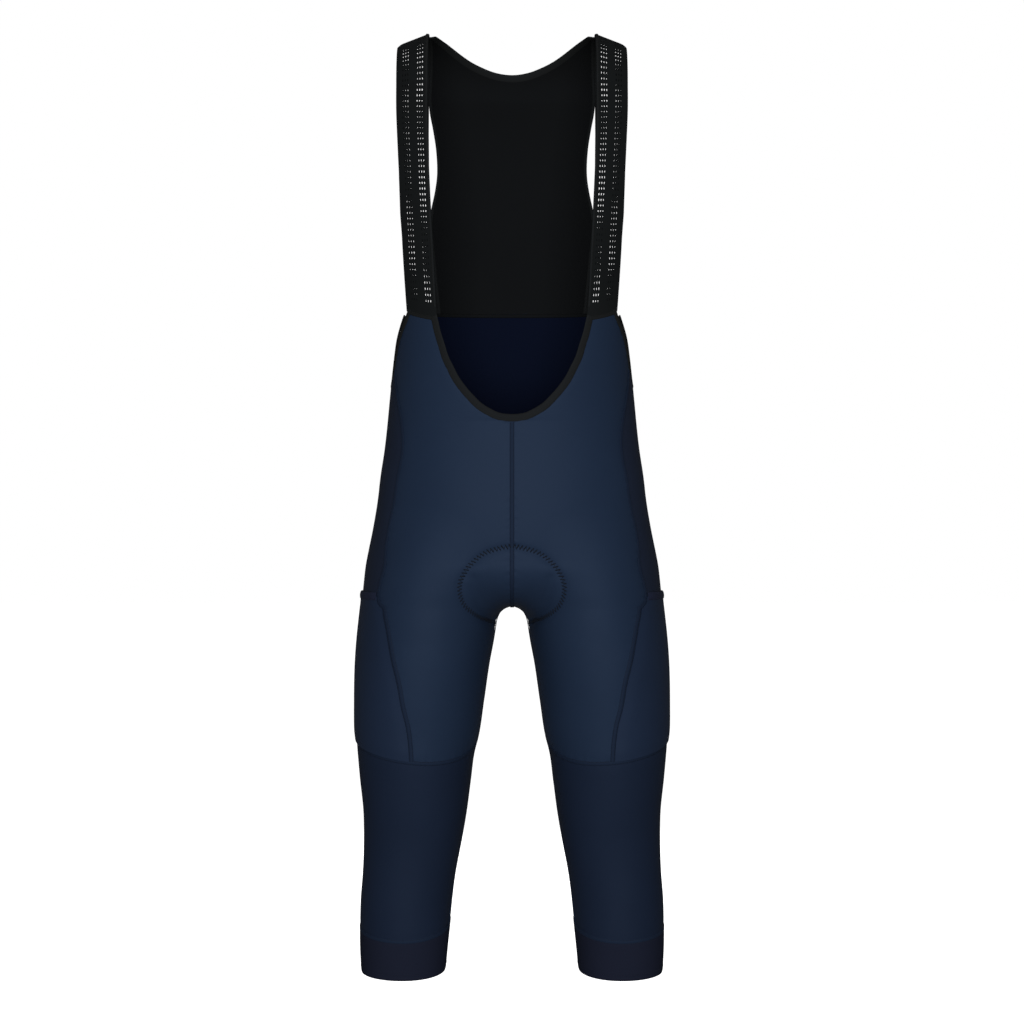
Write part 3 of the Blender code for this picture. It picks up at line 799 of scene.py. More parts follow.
def pad_relief(p):
    """How far the padding pushes the cloth out, with the trough at its stitches."""
    away = nearest(p, edge_p)
    turn = np.degrees(np.arctan2(-(p[..., 2] - PAD_HUB[2]), -(p[..., 1] - PAD_HUB[1])))
    half = np.interp(turn, PAD_TURN, edge_p[:, 0])
    inside = (np.abs(p[..., 0]) < half) & (turn > PAD_TURN[0])
    low = np.clip((p[..., 2] + 0.668) / 0.016, 0.2, 1)
    trough = np.exp(-((away / (3.4 * MM)) ** 2)) + 0.35 * np.exp(-((away / (8 * MM)) ** 2))
    bulge = inside * (1 - np.exp(-((away / (8 * MM)) ** 2)))
    swell = PAD_SWELL * np.exp(-(((turn - 50) / 17) ** 2))
    swell = swell * np.exp(-((p[..., 0] / (30 * MM)) ** 4))
    hollow = np.exp(-((nearest(p, hollow_p) / (7 * MM)) ** 2))
    return ((PAD_BULGE * low + swell) * bulge - PAD_TROUGH * trough - PAD_DIP * hollow) * MM


def waves(p, seed=0):
    """Long soft waves of the cloth, up to about half a millimetre."""
    rng = np.random.default_rng(seed)
    out = np.zeros(p.shape[:-1])
    for _ in range(9):
        way = rng.normal(size=3) * (1, 1, 0.55)
        way *= 2 * math.pi / (np.linalg.norm(way) * rng.uniform(0.06, 0.16))
        out += np.sin(p @ way + rng.uniform(0, 6.28))
    return out * WAVE_HEIGHT * MM


def pucker(distance, along, seed=0):
    """Small gathers that die out 9 mm from a seam."""
    rng = np.random.default_rng(seed)
    ripple = np.zeros(along.shape)
    for pitch in (7.3, 10.1, 13.7):
        ripple += np.sin(2 * math.pi * along / (pitch * MM) + rng.uniform(0, 6.28))
    near = np.exp(-((distance / (6.5 * MM)) ** 2))
    return near * (RIPPLE * ripple - PULL) * MM


def beside_seams(p, seed):
    """Puckers along the four sides of a panel's grid."""
    u, v = flat_size(p)
    left, right = u - u[:, :1], u[:, -1:] - u
    down = v[-1:] - v
    return pucker(left, v, seed) + pucker(right, v, seed + 1) + pucker(down, u, seed + 2)


print("padding's edge:", round(2000 * edge_p[:, 0].max()), "mm across")

# %% [markdown]
# Between the legs the rows stop running round the trunk and start to run round
# each leg, which would bend the columns sharply. They are evened out there.

# %% Even out the columns


def settled(p):
    """Bends the columns softly where rows round the trunk become rows round a leg."""
    soft = p.copy()
    for _ in range(70):
        soft[1:-1] = (soft[:-2] + 2 * soft[1:-1] + soft[2:]) / 4
    u, _ = flat_size(p)
    sides = []
    for edge, away in ((p[:, :1, 0], u - u[:, :1]), (p[:, -1:, 0], u[:, -1:] - u)):
        centre = (away - 22 * MM) / (26 * MM)
        sides.append(np.clip(np.where(edge < 30 * MM, centre, away / (12 * MM)), 0, 1))
    share = sides[0] * sides[1]
    share = share * np.exp(-(((p[..., 2] + 651 * MM) / (11 * MM)) ** 2))
    q = p + (soft - p) * share[..., None]
    for _ in range(3):
        n = rise(q)
        q = q - n * (gap(q[..., 0], q[..., 1], q[..., 2]) / (n * n).sum(-1))[..., None]
    return q, unit(rise(q))


# %% [markdown]
# The navy panels are laid first: a front, a back and a side for each leg, the
# pocket on the side panel, and below the knee seam a tube of the warmer knit
# and a cuff of dull gripper knit.

# %% Lay the panels on both sides
SIDES = (("left", 1), ("right", -1))


def finish_panel(name, node, p, n, material, slot_name, mirror, lifted, **options):
    """A laid piece of cloth in place of a CAD node."""
    panel = lay_cloth(name, p + n * lifted, n, material, mirror=mirror, **options)
    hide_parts(node)
    print(name, len(panel.data.polygons), "faces")
    return panel


for side, mirror in SIDES:
    for k, (what, grid, cloth) in enumerate(
        (("front", FRONT_GRID, NAVY), ("back", BACK_GRID, NAVY), ("side", SIDE_GRID, SIDE_NAVY))
    ):
        p, n = settled(body(*grid)[0])
        lifted = beside_seams(p, k + 10 * mirror + 20) + waves(p, 3)
        lifted = lifted + pad_relief(p) * (what != "side")
        # The inside colour is painted shade for the hollow of the garment.
        finish_panel(
            f"{what}_panel_{side}", f"{what}_{side}", p, n, cloth, "navy_knit", mirror,
            lifted[..., None], inside=INSIDE_NAVY_PAINTED_SHADE,
        )

# %% [markdown]
# The pocket is one more layer on the side of the thigh, sewn down in the two
# side seams and the knee seam. It stands a little off the thigh, and its mouth
# has a folded hem that shows as a small step in the outline.

# %% Thigh pockets
POCKET_INSET = 0.0055


def pocket_ends(rows):
    """Round of the pocket's sides, a little inside the side seams."""
    return curve(SIDE_FRONT, rows) + POCKET_INSET, curve(SIDE_BACK, rows) - POCKET_INSET


pocket_rows = np.linspace(-640, -803, 60)
low, high = pocket_ends(pocket_rows)
u = np.linspace(0, 1, 44)[None, :]
around = low[:, None] + (high - low)[:, None] * u
height = pocket_rows[:, None] + knee_share(pocket_rows)[:, None] * dip(around, KNEE_DIP)
pocket_p, pocket_n = body(around, height)
flat_u, flat_v = flat_size(pocket_p)
edge = np.minimum(flat_u - flat_u[:, :1], flat_u[:, -1:] - flat_u)
stand = 1.25 + 1.1 * (1 - np.exp(-((edge / (7 * MM)) ** 2)))
stand -= 0.6 * np.exp(-(((flat_v[-1:] - flat_v) / (6 * MM)) ** 2))
stand = stand[..., None] * MM + (waves(pocket_p, 7) * 0.8)[..., None]
hem_rows = np.linspace(-635.6, -644.2, 9)
low, high = pocket_ends(hem_rows)
across = np.linspace(0, 1, 60)[None, :]
around = low[:, None] + (high - low)[:, None] * across
hem_p, hem_n = body(around, hem_rows[:, None] + 0 * around)
roll = 1 - np.abs(np.linspace(-1, 1, 9)[:, None]) ** 3
taper = 1 - 0.35 * (np.exp(-((across / 0.03) ** 2)) + np.exp(-(((1 - across) / 0.03) ** 2)))
hem_stand = ((2.5 + 0.9 * roll) * taper)[..., None] * MM
for side, mirror in SIDES:
    finish_panel(
        f"thigh_pocket_{side}", f"pocket_{side}", pocket_p, pocket_n, POCKET_NAVY,
        "navy_knit", mirror, stand,
    )
    finish_panel(
        f"pocket_mouth_{side}", f"pocket_hem_{side}", hem_p, hem_n, HEM_NAVY, "hem_knit", mirror,
        hem_stand, thick=1.5 * MM,
    )
print("pocket", round(1000 * float(flat_u[0, -1] - flat_u[0, 0])), "mm wide")

# %% [markdown]
# Below the knee the leg is a closed tube. The grid's first and last column are
# merged to close it. The cuff is thicker, and its lower edge is folded in.

# %% Lower legs and cuffs
FRONT_SEAM_END, BACK_SEAM_END, TO_SEAM = 0.262, 0.27, 1.1
loop = np.r_[
    FRONT_SEAM_END * np.linspace(0, 1, 30)[:-1] ** TO_SEAM,
    np.linspace(FRONT_SEAM_END, 0.73, 52)[:-1],
    1 - BACK_SEAM_END * np.linspace(1, 0, 30) ** TO_SEAM,
][None, :]
shin_rows = np.linspace(KNEE, CUFF_SEAM, 76)
slope = np.interp(-shin_rows, [-KNEE, 900, -CUFF_SEAM], [KNEE_DIP, 14, CUFF_DIP])
shin_height = shin_rows[:, None] + np.array([dip(loop[0], d) for d in slope])
shin_p, shin_n = body(loop + 0 * shin_height, shin_height)
_, shin_v = flat_size(shin_p)
up_and_down = np.cumsum(np.r_[0, np.linalg.norm(np.diff(shin_p[0], axis=0), axis=1)])[None, :]
round_leg = up_and_down + 0 * shin_v
shin_lift = pucker(shin_v, round_leg, 31) + pucker(shin_v[-1:] - shin_v, round_leg, 32)
soft = waves(shin_p, 5)
soft[:, -1] = soft[:, 0]
shin_lift = shin_lift + soft
shin_lift[:, -1] = shin_lift[:, 0]
cuff_rows = np.r_[np.linspace(CUFF_SEAM, HEM + 1, 30), HEM]
slope = np.interp(-cuff_rows, [-CUFF_SEAM, -HEM], [CUFF_DIP, HEM_DIP])
cuff_height = cuff_rows[:, None] + np.array([dip(loop[0], d) for d in slope])
cuff_p, cuff_n = body(loop + 0 * cuff_height, cuff_height)
fold = 0.35 + 0.25 * np.sin(np.linspace(0, math.pi, 31))
fold = fold - 0.5 * np.exp(-(((cuff_rows - HEM) / 1.2) ** 2))
fold -= 0.5 * np.exp(-(((cuff_rows - CUFF_SEAM) / 3) ** 2))
for side, mirror in SIDES:
    finish_panel(
        f"lower_leg_{side}", f"shin_{side}", shin_p, shin_n, LOWER_NAVY, "navy_knit", mirror,
        shin_lift[..., None], tube=True,
    )
    finish_panel(
        f"gripper_cuff_{side}", f"cuff_{side}", cuff_p, cuff_n, CUFF_KNIT, "cuff_rib", mirror,
        fold[:, None, None] * MM, tube=True, thick=1.6 * MM,
    )
print("cuff", round(1000 * float(up_and_down[0, -1])), "mm round")

# %% [markdown]
# The straps are warp-knit elastic with two bands of small eyelets. One repeat
# of the flat strap is modelled: a grid whose hole cells are inset and opened.
# It is copied along the strap by Array and then laid over the shoulder.

# %% Strap measures
FRONT_STRAP = table(
    "height inner outer",
    (-330, 83.6, 117.6), (-322, 84.2, 118.2), (-252, 87.9, 122.9), (-196, 91.1, 125.4),
    (-137, 93.6, 128.5), (-84, 95.0, 130.9), (-60, 95.0, 131.1),
)
BACK_STRAP = (
    (0, 95.0, 131.1), (0.3, 95.2, 131.0), (0.7, 96.2, 131.2), (1.0, 97.6, 132.6),
    (1.4, 98.3, 133.2), (1.9, 98.1, 132.8), (2.35, 97.0, 131.2), (2.9, 93.2, 126.8),
    (3.535, 86.6, 118.8),
)
# How far down the strap's front end is, from its inner to its outer edge.
STRAP_ENDS = (328.3, 327.4, 325.3, 322.7, 319.4)
REPEAT, STRAP_WIDTH, STRAP_THICK = 6.4, 34.9, 0.8
HOLE_FROM, HOLE_TO, HOLE_RIM = 0.9, 5.5, 0.66
COLUMNS = (0, 1.2, 3.6, 6.0, 8.8, 11.6, 14.4, 18.2, 22.0, 24.8, 27.6, 30.4, 32.4, STRAP_WIDTH)
HOLE_COLUMNS = (3, 4, 5, 8, 9, 10)
back_q, back_inner, back_outer = np.array(BACK_STRAP).T


def strap_edges(q):
    """x of the strap's inner and outer edge at q over the shoulder, in metres."""
    z = ARCH_FOOT - np.maximum(np.abs(q) - 1, 0) * DROP
    inner, outer = read(FRONT_STRAP, "inner", z), read(FRONT_STRAP, "outer", z)
    back = [np.interp(q, back_q, column) * MM for column in (back_inner, back_outer)]
    return np.where(q > 0, back[0], inner), np.where(q > 0, back[1], outer)


Q = np.linspace(-3.62, 3.535, 1600)
inner, outer = strap_edges(Q)
middle = over_point((inner + outer) / 2, Q)
STRAP_ARC = np.r_[0, np.cumsum(np.linalg.norm(np.diff(middle, axis=0), axis=1))]
print("strap", round(1000 * STRAP_ARC[-1]), "mm long")

# %% [markdown]
# Behind the shoulder the elastic is pulled a little askew, so the eyelets of its
# two layers meet in some rows and miss in others. That gives the bright and dim
# stretches that are seen along a strap.

# %% Skew of the strap behind the shoulder
# Columns: over the shoulder, outer and inner band along in repeats, out in mm.
SKEW = np.array([
    (0, 0, 0, 0), (0.25, 0, -0.05, 2.7), (0.5, 0.02, 0.08, 2.7), (0.7, 0.12, 0.14, 2.6),
    (0.9, 0.22, 0.15, 2.5), (1.1, 0.3, 0.14, 1.9), (1.3, 0.1, 0.1, 1.2), (1.56, 0, -0.09, 0.5),
    (1.82, -0.03, -0.1, -0.2), (2.04, -0.03, -0.04, -0.5), (2.2, -0.32, 0.05, -0.9),
    (2.37, -0.3, 0.03, -1.0), (2.5, -0.22, 0, -0.8), (2.64, -0.11, 0, -0.5),
    (2.77, -0.03, -0.1, 0), (2.91, 0.1, -0.04, 0.6), (3.06, 0.1, 0.28, 1.2),
    (3.2, -0.1, 0.64, 1.8), (3.35, -0.3, 0.96, 2.2), (3.54, -0.3, 1.3, 2.4),
])


def skewed(share, along, q):
    """Moves the knit behind the shoulder: along, in mm, and out to the side."""
    outer_by, inner_by, out = (np.interp(q, SKEW[:, 0], SKEW[:, k]) for k in (1, 2, 3))
    toward = np.clip((share - 0.4) / 0.2, 0, 1)
    along = along + (outer_by + (inner_by - outer_by) * toward) * REPEAT
    middle = np.clip(share / 0.09, 0, 1) * np.clip((1 - share) / 0.1, 0, 1)
    return share - out / STRAP_WIDTH * middle, along


print("skew: up to", SKEW[:, 3].max(), "mm out")

# %% One repeat of the strap
clear_selection()
bpy.ops.mesh.primitive_grid_add(x_subdivisions=len(COLUMNS) - 1, y_subdivisions=3, size=1)
repeat = bpy.context.object
repeat.name = "strap_repeat"
rows_at = np.array([0, HOLE_FROM, HOLE_TO, REPEAT])
cells = np.stack(np.meshgrid(COLUMNS, rows_at), -1).reshape(-1, 2)
set_points(repeat, np.c_[cells, 0 * cells[:, 0]] * MM)
plain = repeat.copy()
plain.data = repeat.data.copy()
plain.name = "strap_plain"
bpy.context.scene.collection.objects.link(plain)
take(repeat)
bpy.ops.object.mode_set(mode="EDIT")
bpy.ops.mesh.select_all(action="DESELECT")
bpy.ops.mesh.select_mode(type="FACE")
bpy.ops.object.mode_set(mode="OBJECT")
for face in repeat.data.polygons:
    x, y = face.center.x / MM, face.center.y / MM
    column = np.searchsorted(COLUMNS, x) - 1
    face.select = bool(column in HOLE_COLUMNS and HOLE_FROM < y < HOLE_TO)
bpy.ops.object.mode_set(mode="EDIT")
bpy.ops.mesh.inset(thickness=HOLE_RIM * MM, use_individual=True)
bpy.ops.mesh.delete(type="FACE")
bpy.ops.mesh.select_mode(type="VERT")
bpy.ops.object.mode_set(mode="OBJECT")
print("repeat:", len(repeat.data.polygons), "faces")

# %% Lay the straps over the shoulders


MERGE = 0.02 * MM


def row_of(unit_piece, count, step, merge=False):
    """A unit repeated in a row, with its own mesh."""
    obj = unit_piece.copy()
    obj.data = unit_piece.data.copy()
    bpy.context.scene.collection.objects.link(obj)
    row = obj.modifiers.new("row", "ARRAY")
    row.count, row.use_relative_offset, row.use_constant_offset = count, False, True
    row.constant_offset_displace = step
    row.use_merge_vertices, row.merge_threshold = merge, MERGE
    apply_all(obj)
    return obj


def run_of(unit_piece, count, start):
    """A row of one strap unit from start, in mm along the strap."""
    obj = row_of(unit_piece, count, (0, REPEAT * MM, 0), merge=True)
    take(obj)
    bpy.ops.object.mode_set(mode="EDIT")
    bpy.ops.mesh.select_all(action="SELECT")
    bpy.ops.transform.translate(value=(0, start * MM, 0))
    bpy.ops.object.mode_set(mode="OBJECT")
    return obj


total = int(STRAP_ARC[-1] / MM / REPEAT)
stretch = STRAP_ARC[-1] / (total * REPEAT * MM)
for side, mirror in SIDES:
    runs = [
        run_of(plain, 2, 0),
        run_of(repeat, total - 4, 2 * REPEAT),
        run_of(plain, 2, (total - 2) * REPEAT),
    ]
    clear_selection()
    for run in runs:
        run.select_set(True)
    bpy.context.view_layer.objects.active = runs[0]
    bpy.ops.object.join()
    strap = bpy.context.object
    strap.name = f"shoulder_strap_{side}"
    bpy.ops.object.mode_set(mode="EDIT")
    bpy.ops.mesh.select_all(action="SELECT")
    bpy.ops.mesh.remove_doubles(threshold=MERGE)
    bpy.ops.object.mode_set(mode="OBJECT")
    co = points_of(strap)
    set_flat(strap, co[:, :2])
    # Across runs from the outer edge inwards, and along from the front end.
    share = co[:, 0] / (STRAP_WIDTH * MM)
    q = np.interp(co[:, 1] * stretch, STRAP_ARC, Q)
    share, along = skewed(share, co[:, 1] * stretch / MM, q)
    q = np.interp(along * MM, STRAP_ARC, Q)
    end = np.interp(1 - share, np.linspace(0, 1, len(STRAP_ENDS)), STRAP_ENDS)
    front_end = -(1 + (end - 60) / 100)
    q = np.where(q < -3, -3 + (q + 3) * (front_end + 3) / (Q[0] + 3), q)
    inner, outer = strap_edges(q)
    p, n = over(outer + (inner - outer) * share, q)
    seen = (p + n * 0.15 * MM) * (mirror, 1, 1)
    set_points(strap, seen)
    face = strap.data.polygons[0]
    near = np.argmin(((seen - np.array(face.center)) ** 2).sum(1))
    if np.dot(face.normal, n[near] * (mirror, 1, 1)) < 0:
        flip_faces(strap)
    round_off = strap.modifiers.new("round", "SUBSURF")
    round_off.levels = round_off.render_levels = 1
    wall = strap.modifiers.new("wall", "SOLIDIFY")
    wall.thickness, wall.offset = STRAP_THICK * MM, -1
    apply_all(strap)
    take(strap)
    bpy.ops.object.shade_smooth_by_angle(angle=math.radians(50))
    set_materials(strap, STRAP_BAND)
    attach(strap, "root")
    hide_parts(f"strap_{side}")
    print(strap.name, len(strap.data.polygons), "faces")
for unit_piece in (repeat, plain):
    bpy.data.objects.remove(unit_piece, do_unlink=True)

# %% [markdown]
# The black back piece hangs between the straps. Its neck is cut in a curve, and
# each side leaves a slot behind the shoulder, so its rows bend with both.

# %% Back piece
YOKE_SIDE = (
    (0.12, 94.65), (0.3, 94.8), (0.5, 95.2), (0.7, 95.8), (0.86, 96.5), (1.0, 97.2),
    (1.12, 96.4), (1.35, 92.3), (1.58, 88.9), (1.86, 87.9), (2.04, 90.1), (2.16, 92.5),
    (2.28, 95.0), (2.38, 96.4), (2.9, 92.8), (3.2, 89.8), (3.535, 86.2),
)
NECKLINE = (
    (0, 0.7), (12, 0.69), (24, 0.662), (38, 0.605), (52, 0.528), (66, 0.415), (80, 0.26),
    (90, 0.12), (94.6, 0.03),
)
u = np.linspace(-1, 1, 61)
side_q, side_x = np.array(YOKE_SIDE).T
fine = np.linspace(side_q[0], side_q[-1], 100)
line = smooth_line(np.stack([side_q * 25, side_x], -1) / (ROUND_SCALE, 1), 600)
side_x = np.interp(fine, line[:, 0] * ROUND_SCALE / 25, line[:, 1]) * MM
x = side_x[:, None] * u[None, :]
neck_x, neck_at = np.array(NECKLINE).T
half_neck = np.stack([neck_x, neck_at * 100], -1)
whole_neck = np.r_[half_neck[:0:-1] * (-1, 1), half_neck]
neck_line = smooth_line(whole_neck / (ROUND_SCALE, 1), 400)
neck_q = np.interp(x[0] / MM, neck_line[:, 0] * ROUND_SCALE, neck_line[:, 1] / 100) + 0.08
down = (fine - fine[0]) / (fine[-1] - fine[0])
foot_q = 1 + (-60 - WAIST_SEAM) / 100
q = neck_q[None, :] + (foot_q - neck_q[None, :]) * down[:, None]
yoke_p, yoke_n = over(x, q)
lifted = (waves(yoke_p, 11) * 1.6)[..., None]
yoke = lay_cloth("back_piece", yoke_p + yoke_n * lifted, yoke_n, BLACK)
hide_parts("back_yoke")
print("back piece", len(yoke.data.polygons), "faces")

# %% [markdown]
# Elastic tape is folded over the edges of the scoop, the neck and the armholes.
# A rounded section is swept along each edge, beside it and a little proud.

# %% Swept tapes


def side_of(p, n, toward):
    """A line's direction, and the direction beside it on the form."""
    tangent = unit(np.gradient(p, axis=0))
    return tangent, unit(np.cross(n, tangent)) * toward


def close_skin(obj):
    """Joins a rolled grid's sides, caps its ends and points its faces outwards."""
    bpy.ops.object.mode_set(mode="EDIT")
    bpy.ops.mesh.select_all(action="SELECT")
    bpy.ops.mesh.remove_doubles(threshold=0.01 * MM)
    bpy.ops.mesh.select_non_manifold()
    bpy.ops.mesh.fill_holes(sides=0)
    bpy.ops.mesh.select_all(action="SELECT")
    bpy.ops.mesh.normals_make_consistent(inside=False)
    bpy.ops.object.mode_set(mode="OBJECT")
    take(obj)
    bpy.ops.object.shade_smooth_by_angle(angle=math.radians(50))


# The section is squarer across the tape than through it.
ACROSS_POWER, THROUGH_POWER, SECTION_POINTS = 3.0, 2.2, 21


def swept(name, p, n, toward, near, far, thick, lift, material, mirror=1):
    """A rounded tape between two distances beside a line on the form."""
    _, side = side_of(p, n, toward)
    angle = np.linspace(0, 2 * math.pi, SECTION_POINTS)
    c, s = np.cos(angle), np.sin(angle)
    y = np.sign(c) * np.abs(c) ** (2 / ACROSS_POWER) * (far - near) / 2 + (far + near) / 2
    z = np.sign(s) * np.abs(s) ** (2 / THROUGH_POWER) * thick / 2 + lift - thick / 2
    points = p[:, None] + side[:, None] * y[None, :, None] + n[:, None] * z[None, :, None]
    obj = grid_at(name, points * (mirror, 1, 1))
    along = np.r_[0, np.cumsum(np.linalg.norm(np.diff(p, axis=0), axis=1))]
    round_it = np.r_[0, np.cumsum(np.hypot(np.diff(y), np.diff(z)))]
    flat = np.stack(np.broadcast_arrays(round_it[None, :], along[:, None]), -1)
    set_flat(obj, flat.reshape(-1, 2))
    close_skin(obj)
    set_materials(obj, material)
    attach(obj, "root")
    return obj


def tape(name, node, p, n, toward, width, mirror=1, near=1.1 * MM):
    """Elastic tape folded over an edge, in place of a CAD node."""
    far = 0.3 * MM + width
    obj = swept(name, p, n, toward, -near, far, 1.9 * MM, 0.5 * MM, TAPE, mirror)
    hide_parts(node)
    return obj


def smooth_on(points, count):
    """Points on the form along a smooth line of round and height."""
    line = smooth_line(points, count)
    return body(line[:, 0], line[:, 1])


scoop_line = [(0.2436, -327.0), *SCOOP[1:-1]]
HALF = 120
half_p, half_n = smooth_on([*scoop_line, (0.0, SCOOP_FOOT)], HALF)
half_p[-1, 0] = 0
scoop_p = np.vstack([half_p, half_p[-2::-1] * (-1, 1, 1)])
scoop_n = np.vstack([half_n, half_n[-2::-1] * (-1, 1, 1)])
scoop_n[HALF - 1] = unit(scoop_n[HALF - 2] + scoop_n[HALF])
scoop = tape("scoop_tape", "neck_binding", scoop_p, scoop_n, -1, 7 * MM)
neck = tape("neck_tape", "back_neck_binding", yoke_p[0], yoke_n[0], -1, 8 * MM)
arm_line = [*ARM_FRONT, *ARM_UNDER, *ARM_BACK]
arm_line[0] = (ARM_FRONT[0][0] - 0.006, ARM_FRONT[0][1] + 3.2)
arm_line[-1] = (ARM_BACK[-1][0] - 0.007, ARM_BACK[-1][1] - 4.2)
arm_p, arm_n = smooth_on(arm_line, 150)
for side, mirror in SIDES:
    tape(
        f"armhole_tape_{side}", f"armhole_binding_{side}", arm_p, arm_n, 1, 5 * MM, mirror,
        near=0.3 * MM,
    )
print("tapes:", scoop.name, neck.name, "and two round the armholes")

# %% [markdown]
# Narrower tapes finish what is left: the slots' sides, the straps' inner edges
# and front ends, and the waist seam inside. Each row gives where the tape's two
# sides lie beside its line, how thick it is and how far it stands proud, in mm.

# %% Strap edges
slot_q = np.linspace(0.1, 3.535, 160)
slot_p, slot_n = over(np.interp(slot_q, fine, side_x), slot_q)
edge_q = np.linspace(-3.56, 3.535, 320)
edge_x = strap_edges(edge_q)[0] + 0.2 * MM
inner_p, inner_n = over(edge_x, edge_q)
END_LINE = ((0.2415, -328.6), (0.27, -326.6), (0.3, -323.9), (0.327, -321.0))
end_p, end_n = smooth_on(END_LINE, 30)
waist_around = np.linspace(1, 0.657, 90)
waist_p, waist_n = body(waist_around, WAIST_SEAM + 0 * waist_around)
for side, mirror in SIDES:
    parts = (
        ("slot_edge", slot_p, slot_n, 1, -0.95, 2.8, 2.0, 0.4),
        ("strap_edge", inner_p, inner_n, -1, 0, 3.4, 1.9, 0.45),
        ("strap_end", end_p, end_n, 1, -2.2, 2.2, 2.2, 0.8),
        ("waist_tape", waist_p, waist_n, 1, -2.2, 2.2, 2.4, 0.25),
    )
    for name, p, n, toward, near, far, thick, lift in parts:
        cloth = BLACK if name == "waist_tape" else TAPE
        edge = swept(
            f"{name}_{side}", p, n, toward, near * MM, far * MM, thick * MM, lift * MM,
            cloth, mirror,
        )
print("strap edges bound")

# %% [markdown]
# The padding is a moulded foam seat sewn inside, in the crotch. It is closed
# and crowned, thickest where the wearer sits, with two channels along it.

# %% Padding
PAD_UNDER, PAD_FOOT, PAD_CROWN, PAD_CHANNEL = 3.4, 4.9, 4.6, 1.5
turns = np.r_[
    np.linspace(13.5, 20, 8)[:-1],
    np.linspace(20, 175, 90),
    np.linspace(175, 180, 6)[1:],
]
half = np.interp(turns, PAD_TURN, PAD_HALF) * MM
w = np.linspace(0, 1, 22)
pad_p, pad_n = under_crotch(turns, half[:, None] * w[None, :])
pad_p[:, 0, 0], pad_n[:, 0, 0] = 0, 0
w = w[None, :]
swell = np.sin(np.pi * np.clip((turns - 10) / 175, 0, 1))[:, None] ** 0.5 * (1 - w**2)
channel = np.exp(-(((w - 0.42) / 0.06) ** 2)) + np.exp(-(((w - 0.8) / 0.05) ** 2))
outer = pad_p - pad_n * PAD_UNDER * MM
deep = PAD_FOOT + PAD_CROWN * swell - PAD_CHANNEL * channel * swell**0.3
inner = pad_p - pad_n * (deep * MM)[..., None]
sheets = [np.concatenate([g[:, :0:-1] * (-1, 1, 1), g], 1) for g in (outer, inner)]
ring = np.concatenate([sheets[0], sheets[1][:, ::-1], sheets[0][:, :1]], 1)
pad = grid_at("seat_padding", ring)
u, v = flat_size(ring)
set_flat(pad, np.stack([u, v], -1).reshape(-1, 2))
close_skin(pad)
set_materials(pad, PAD_CLOTH)
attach(pad, "root")
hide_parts("padding")
print("padding", ring.shape[0], "x", ring.shape[1], "points")

# %% [markdown]
# A flatlock seam joins two edges that only just overlap: a flat band of looper
# thread with a row of needle stitches at each side. One short length of it is
# modelled, copied in a row by Array and bent along the seam's line.

# %% Stitches


def lozenge(length, width, height, x=0.0, y=0.0, turn=0.0):
    """One stitch, mm: a low pointed bead of thread."""
    clear_selection()
    bpy.ops.mesh.primitive_uv_sphere_add(segments=6, ring_count=4, radius=1)
    bead = bpy.context.object
    bead.rotation_euler = (0, math.pi / 2, 0)
    bpy.ops.object.transform_apply(location=False, rotation=True, scale=False)
    bead.scale = (length / 2 * MM, width / 2 * MM, height * MM)
    bead.rotation_euler = (0, 0, math.radians(turn))
    bead.location = (x * MM, y * MM, 0)
    bpy.ops.object.transform_apply(location=True, rotation=True, scale=True)
    return bead


def stitch_unit(name, *beads):
    """The beads of thread that a row of stitches repeats, as one piece."""
    made = [lozenge(*bead) for bead in beads]
    clear_selection()
    for bead in made:
        bead.select_set(True)
    bpy.context.view_layer.objects.active = made[0]
    if len(made) > 1:
        bpy.ops.object.join()
    unit_piece = bpy.context.object
    unit_piece.name = name
    bpy.ops.object.shade_smooth()
    return unit_piece


def bend_along(co, p, n):
    """Moves points from a straight strip to beside a line on the form."""
    _, side = side_of(p, n, 1)
    arc = np.r_[0, np.cumsum(np.linalg.norm(np.diff(p, axis=0), axis=1))]
    at = np.clip(co[:, 0], 0, arc[-1])
    line, beside, out = (
        np.stack([np.interp(at, arc, a[:, k]) for k in range(3)], -1) for a in (p, side, n)
    )
    return line + beside * co[:, 1:2] + out * co[:, 2:3]


def sew(name, unit_piece, pitch, p, n, yarn, mirror=1, lift=0.0, across=0.0):
    """A row of stitches along a line, with pitch, lift and across in mm."""
    length = float(np.linalg.norm(np.diff(p, axis=0), axis=1).sum())
    count = max(1, int(length / (pitch * MM)))
    obj = row_of(unit_piece, count, (pitch * MM, 0, 0))
    obj.name = name
    co = points_of(obj)
    co[:, 0] = (co[:, 0] + pitch * MM / 2) * length / (count * pitch * MM)
    co[:, 1:] += (across * MM, lift * MM)
    set_points(obj, bend_along(co, p, n) * (mirror, 1, 1))
    if mirror < 0:
        flip_faces(obj)
    set_materials(obj, yarn)
    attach(obj, "root")
    return obj


FLATLOCK = stitch_unit(
    "flatlock_unit",
    (2.0, 0.62, 0.34, 0, 1.75), (2.0, 0.62, 0.34, 0, -1.75),
    (3.3, 0.42, 0.2, 0.6, 0, 62), (3.3, 0.42, 0.2, -0.6, 0, -62),
)
TOPSTITCH = stitch_unit("topstitch_unit", (2.1, 0.55, 0.3))
ZIGZAG = stitch_unit("zigzag_unit", (7.4, 1.3, 0.6, 0, 0, 68), (6.2, 0.4, 0.25, 2.0, 0, -70))
print("stitches:", FLATLOCK.name, TOPSTITCH.name, ZIGZAG.name)

# %% [markdown]
# Each seam line gets a low crowned band and the stitches on it. The band's
# edges sink into the panels, so that it looks sewn in and not laid on.

# %% Seams


BAND_HALF, BAND_CROWN, BAND_SUNK, BAND_THICK, FLATLOCK_PITCH = 2.5, 0.62, 0.12, 0.35, 2.6


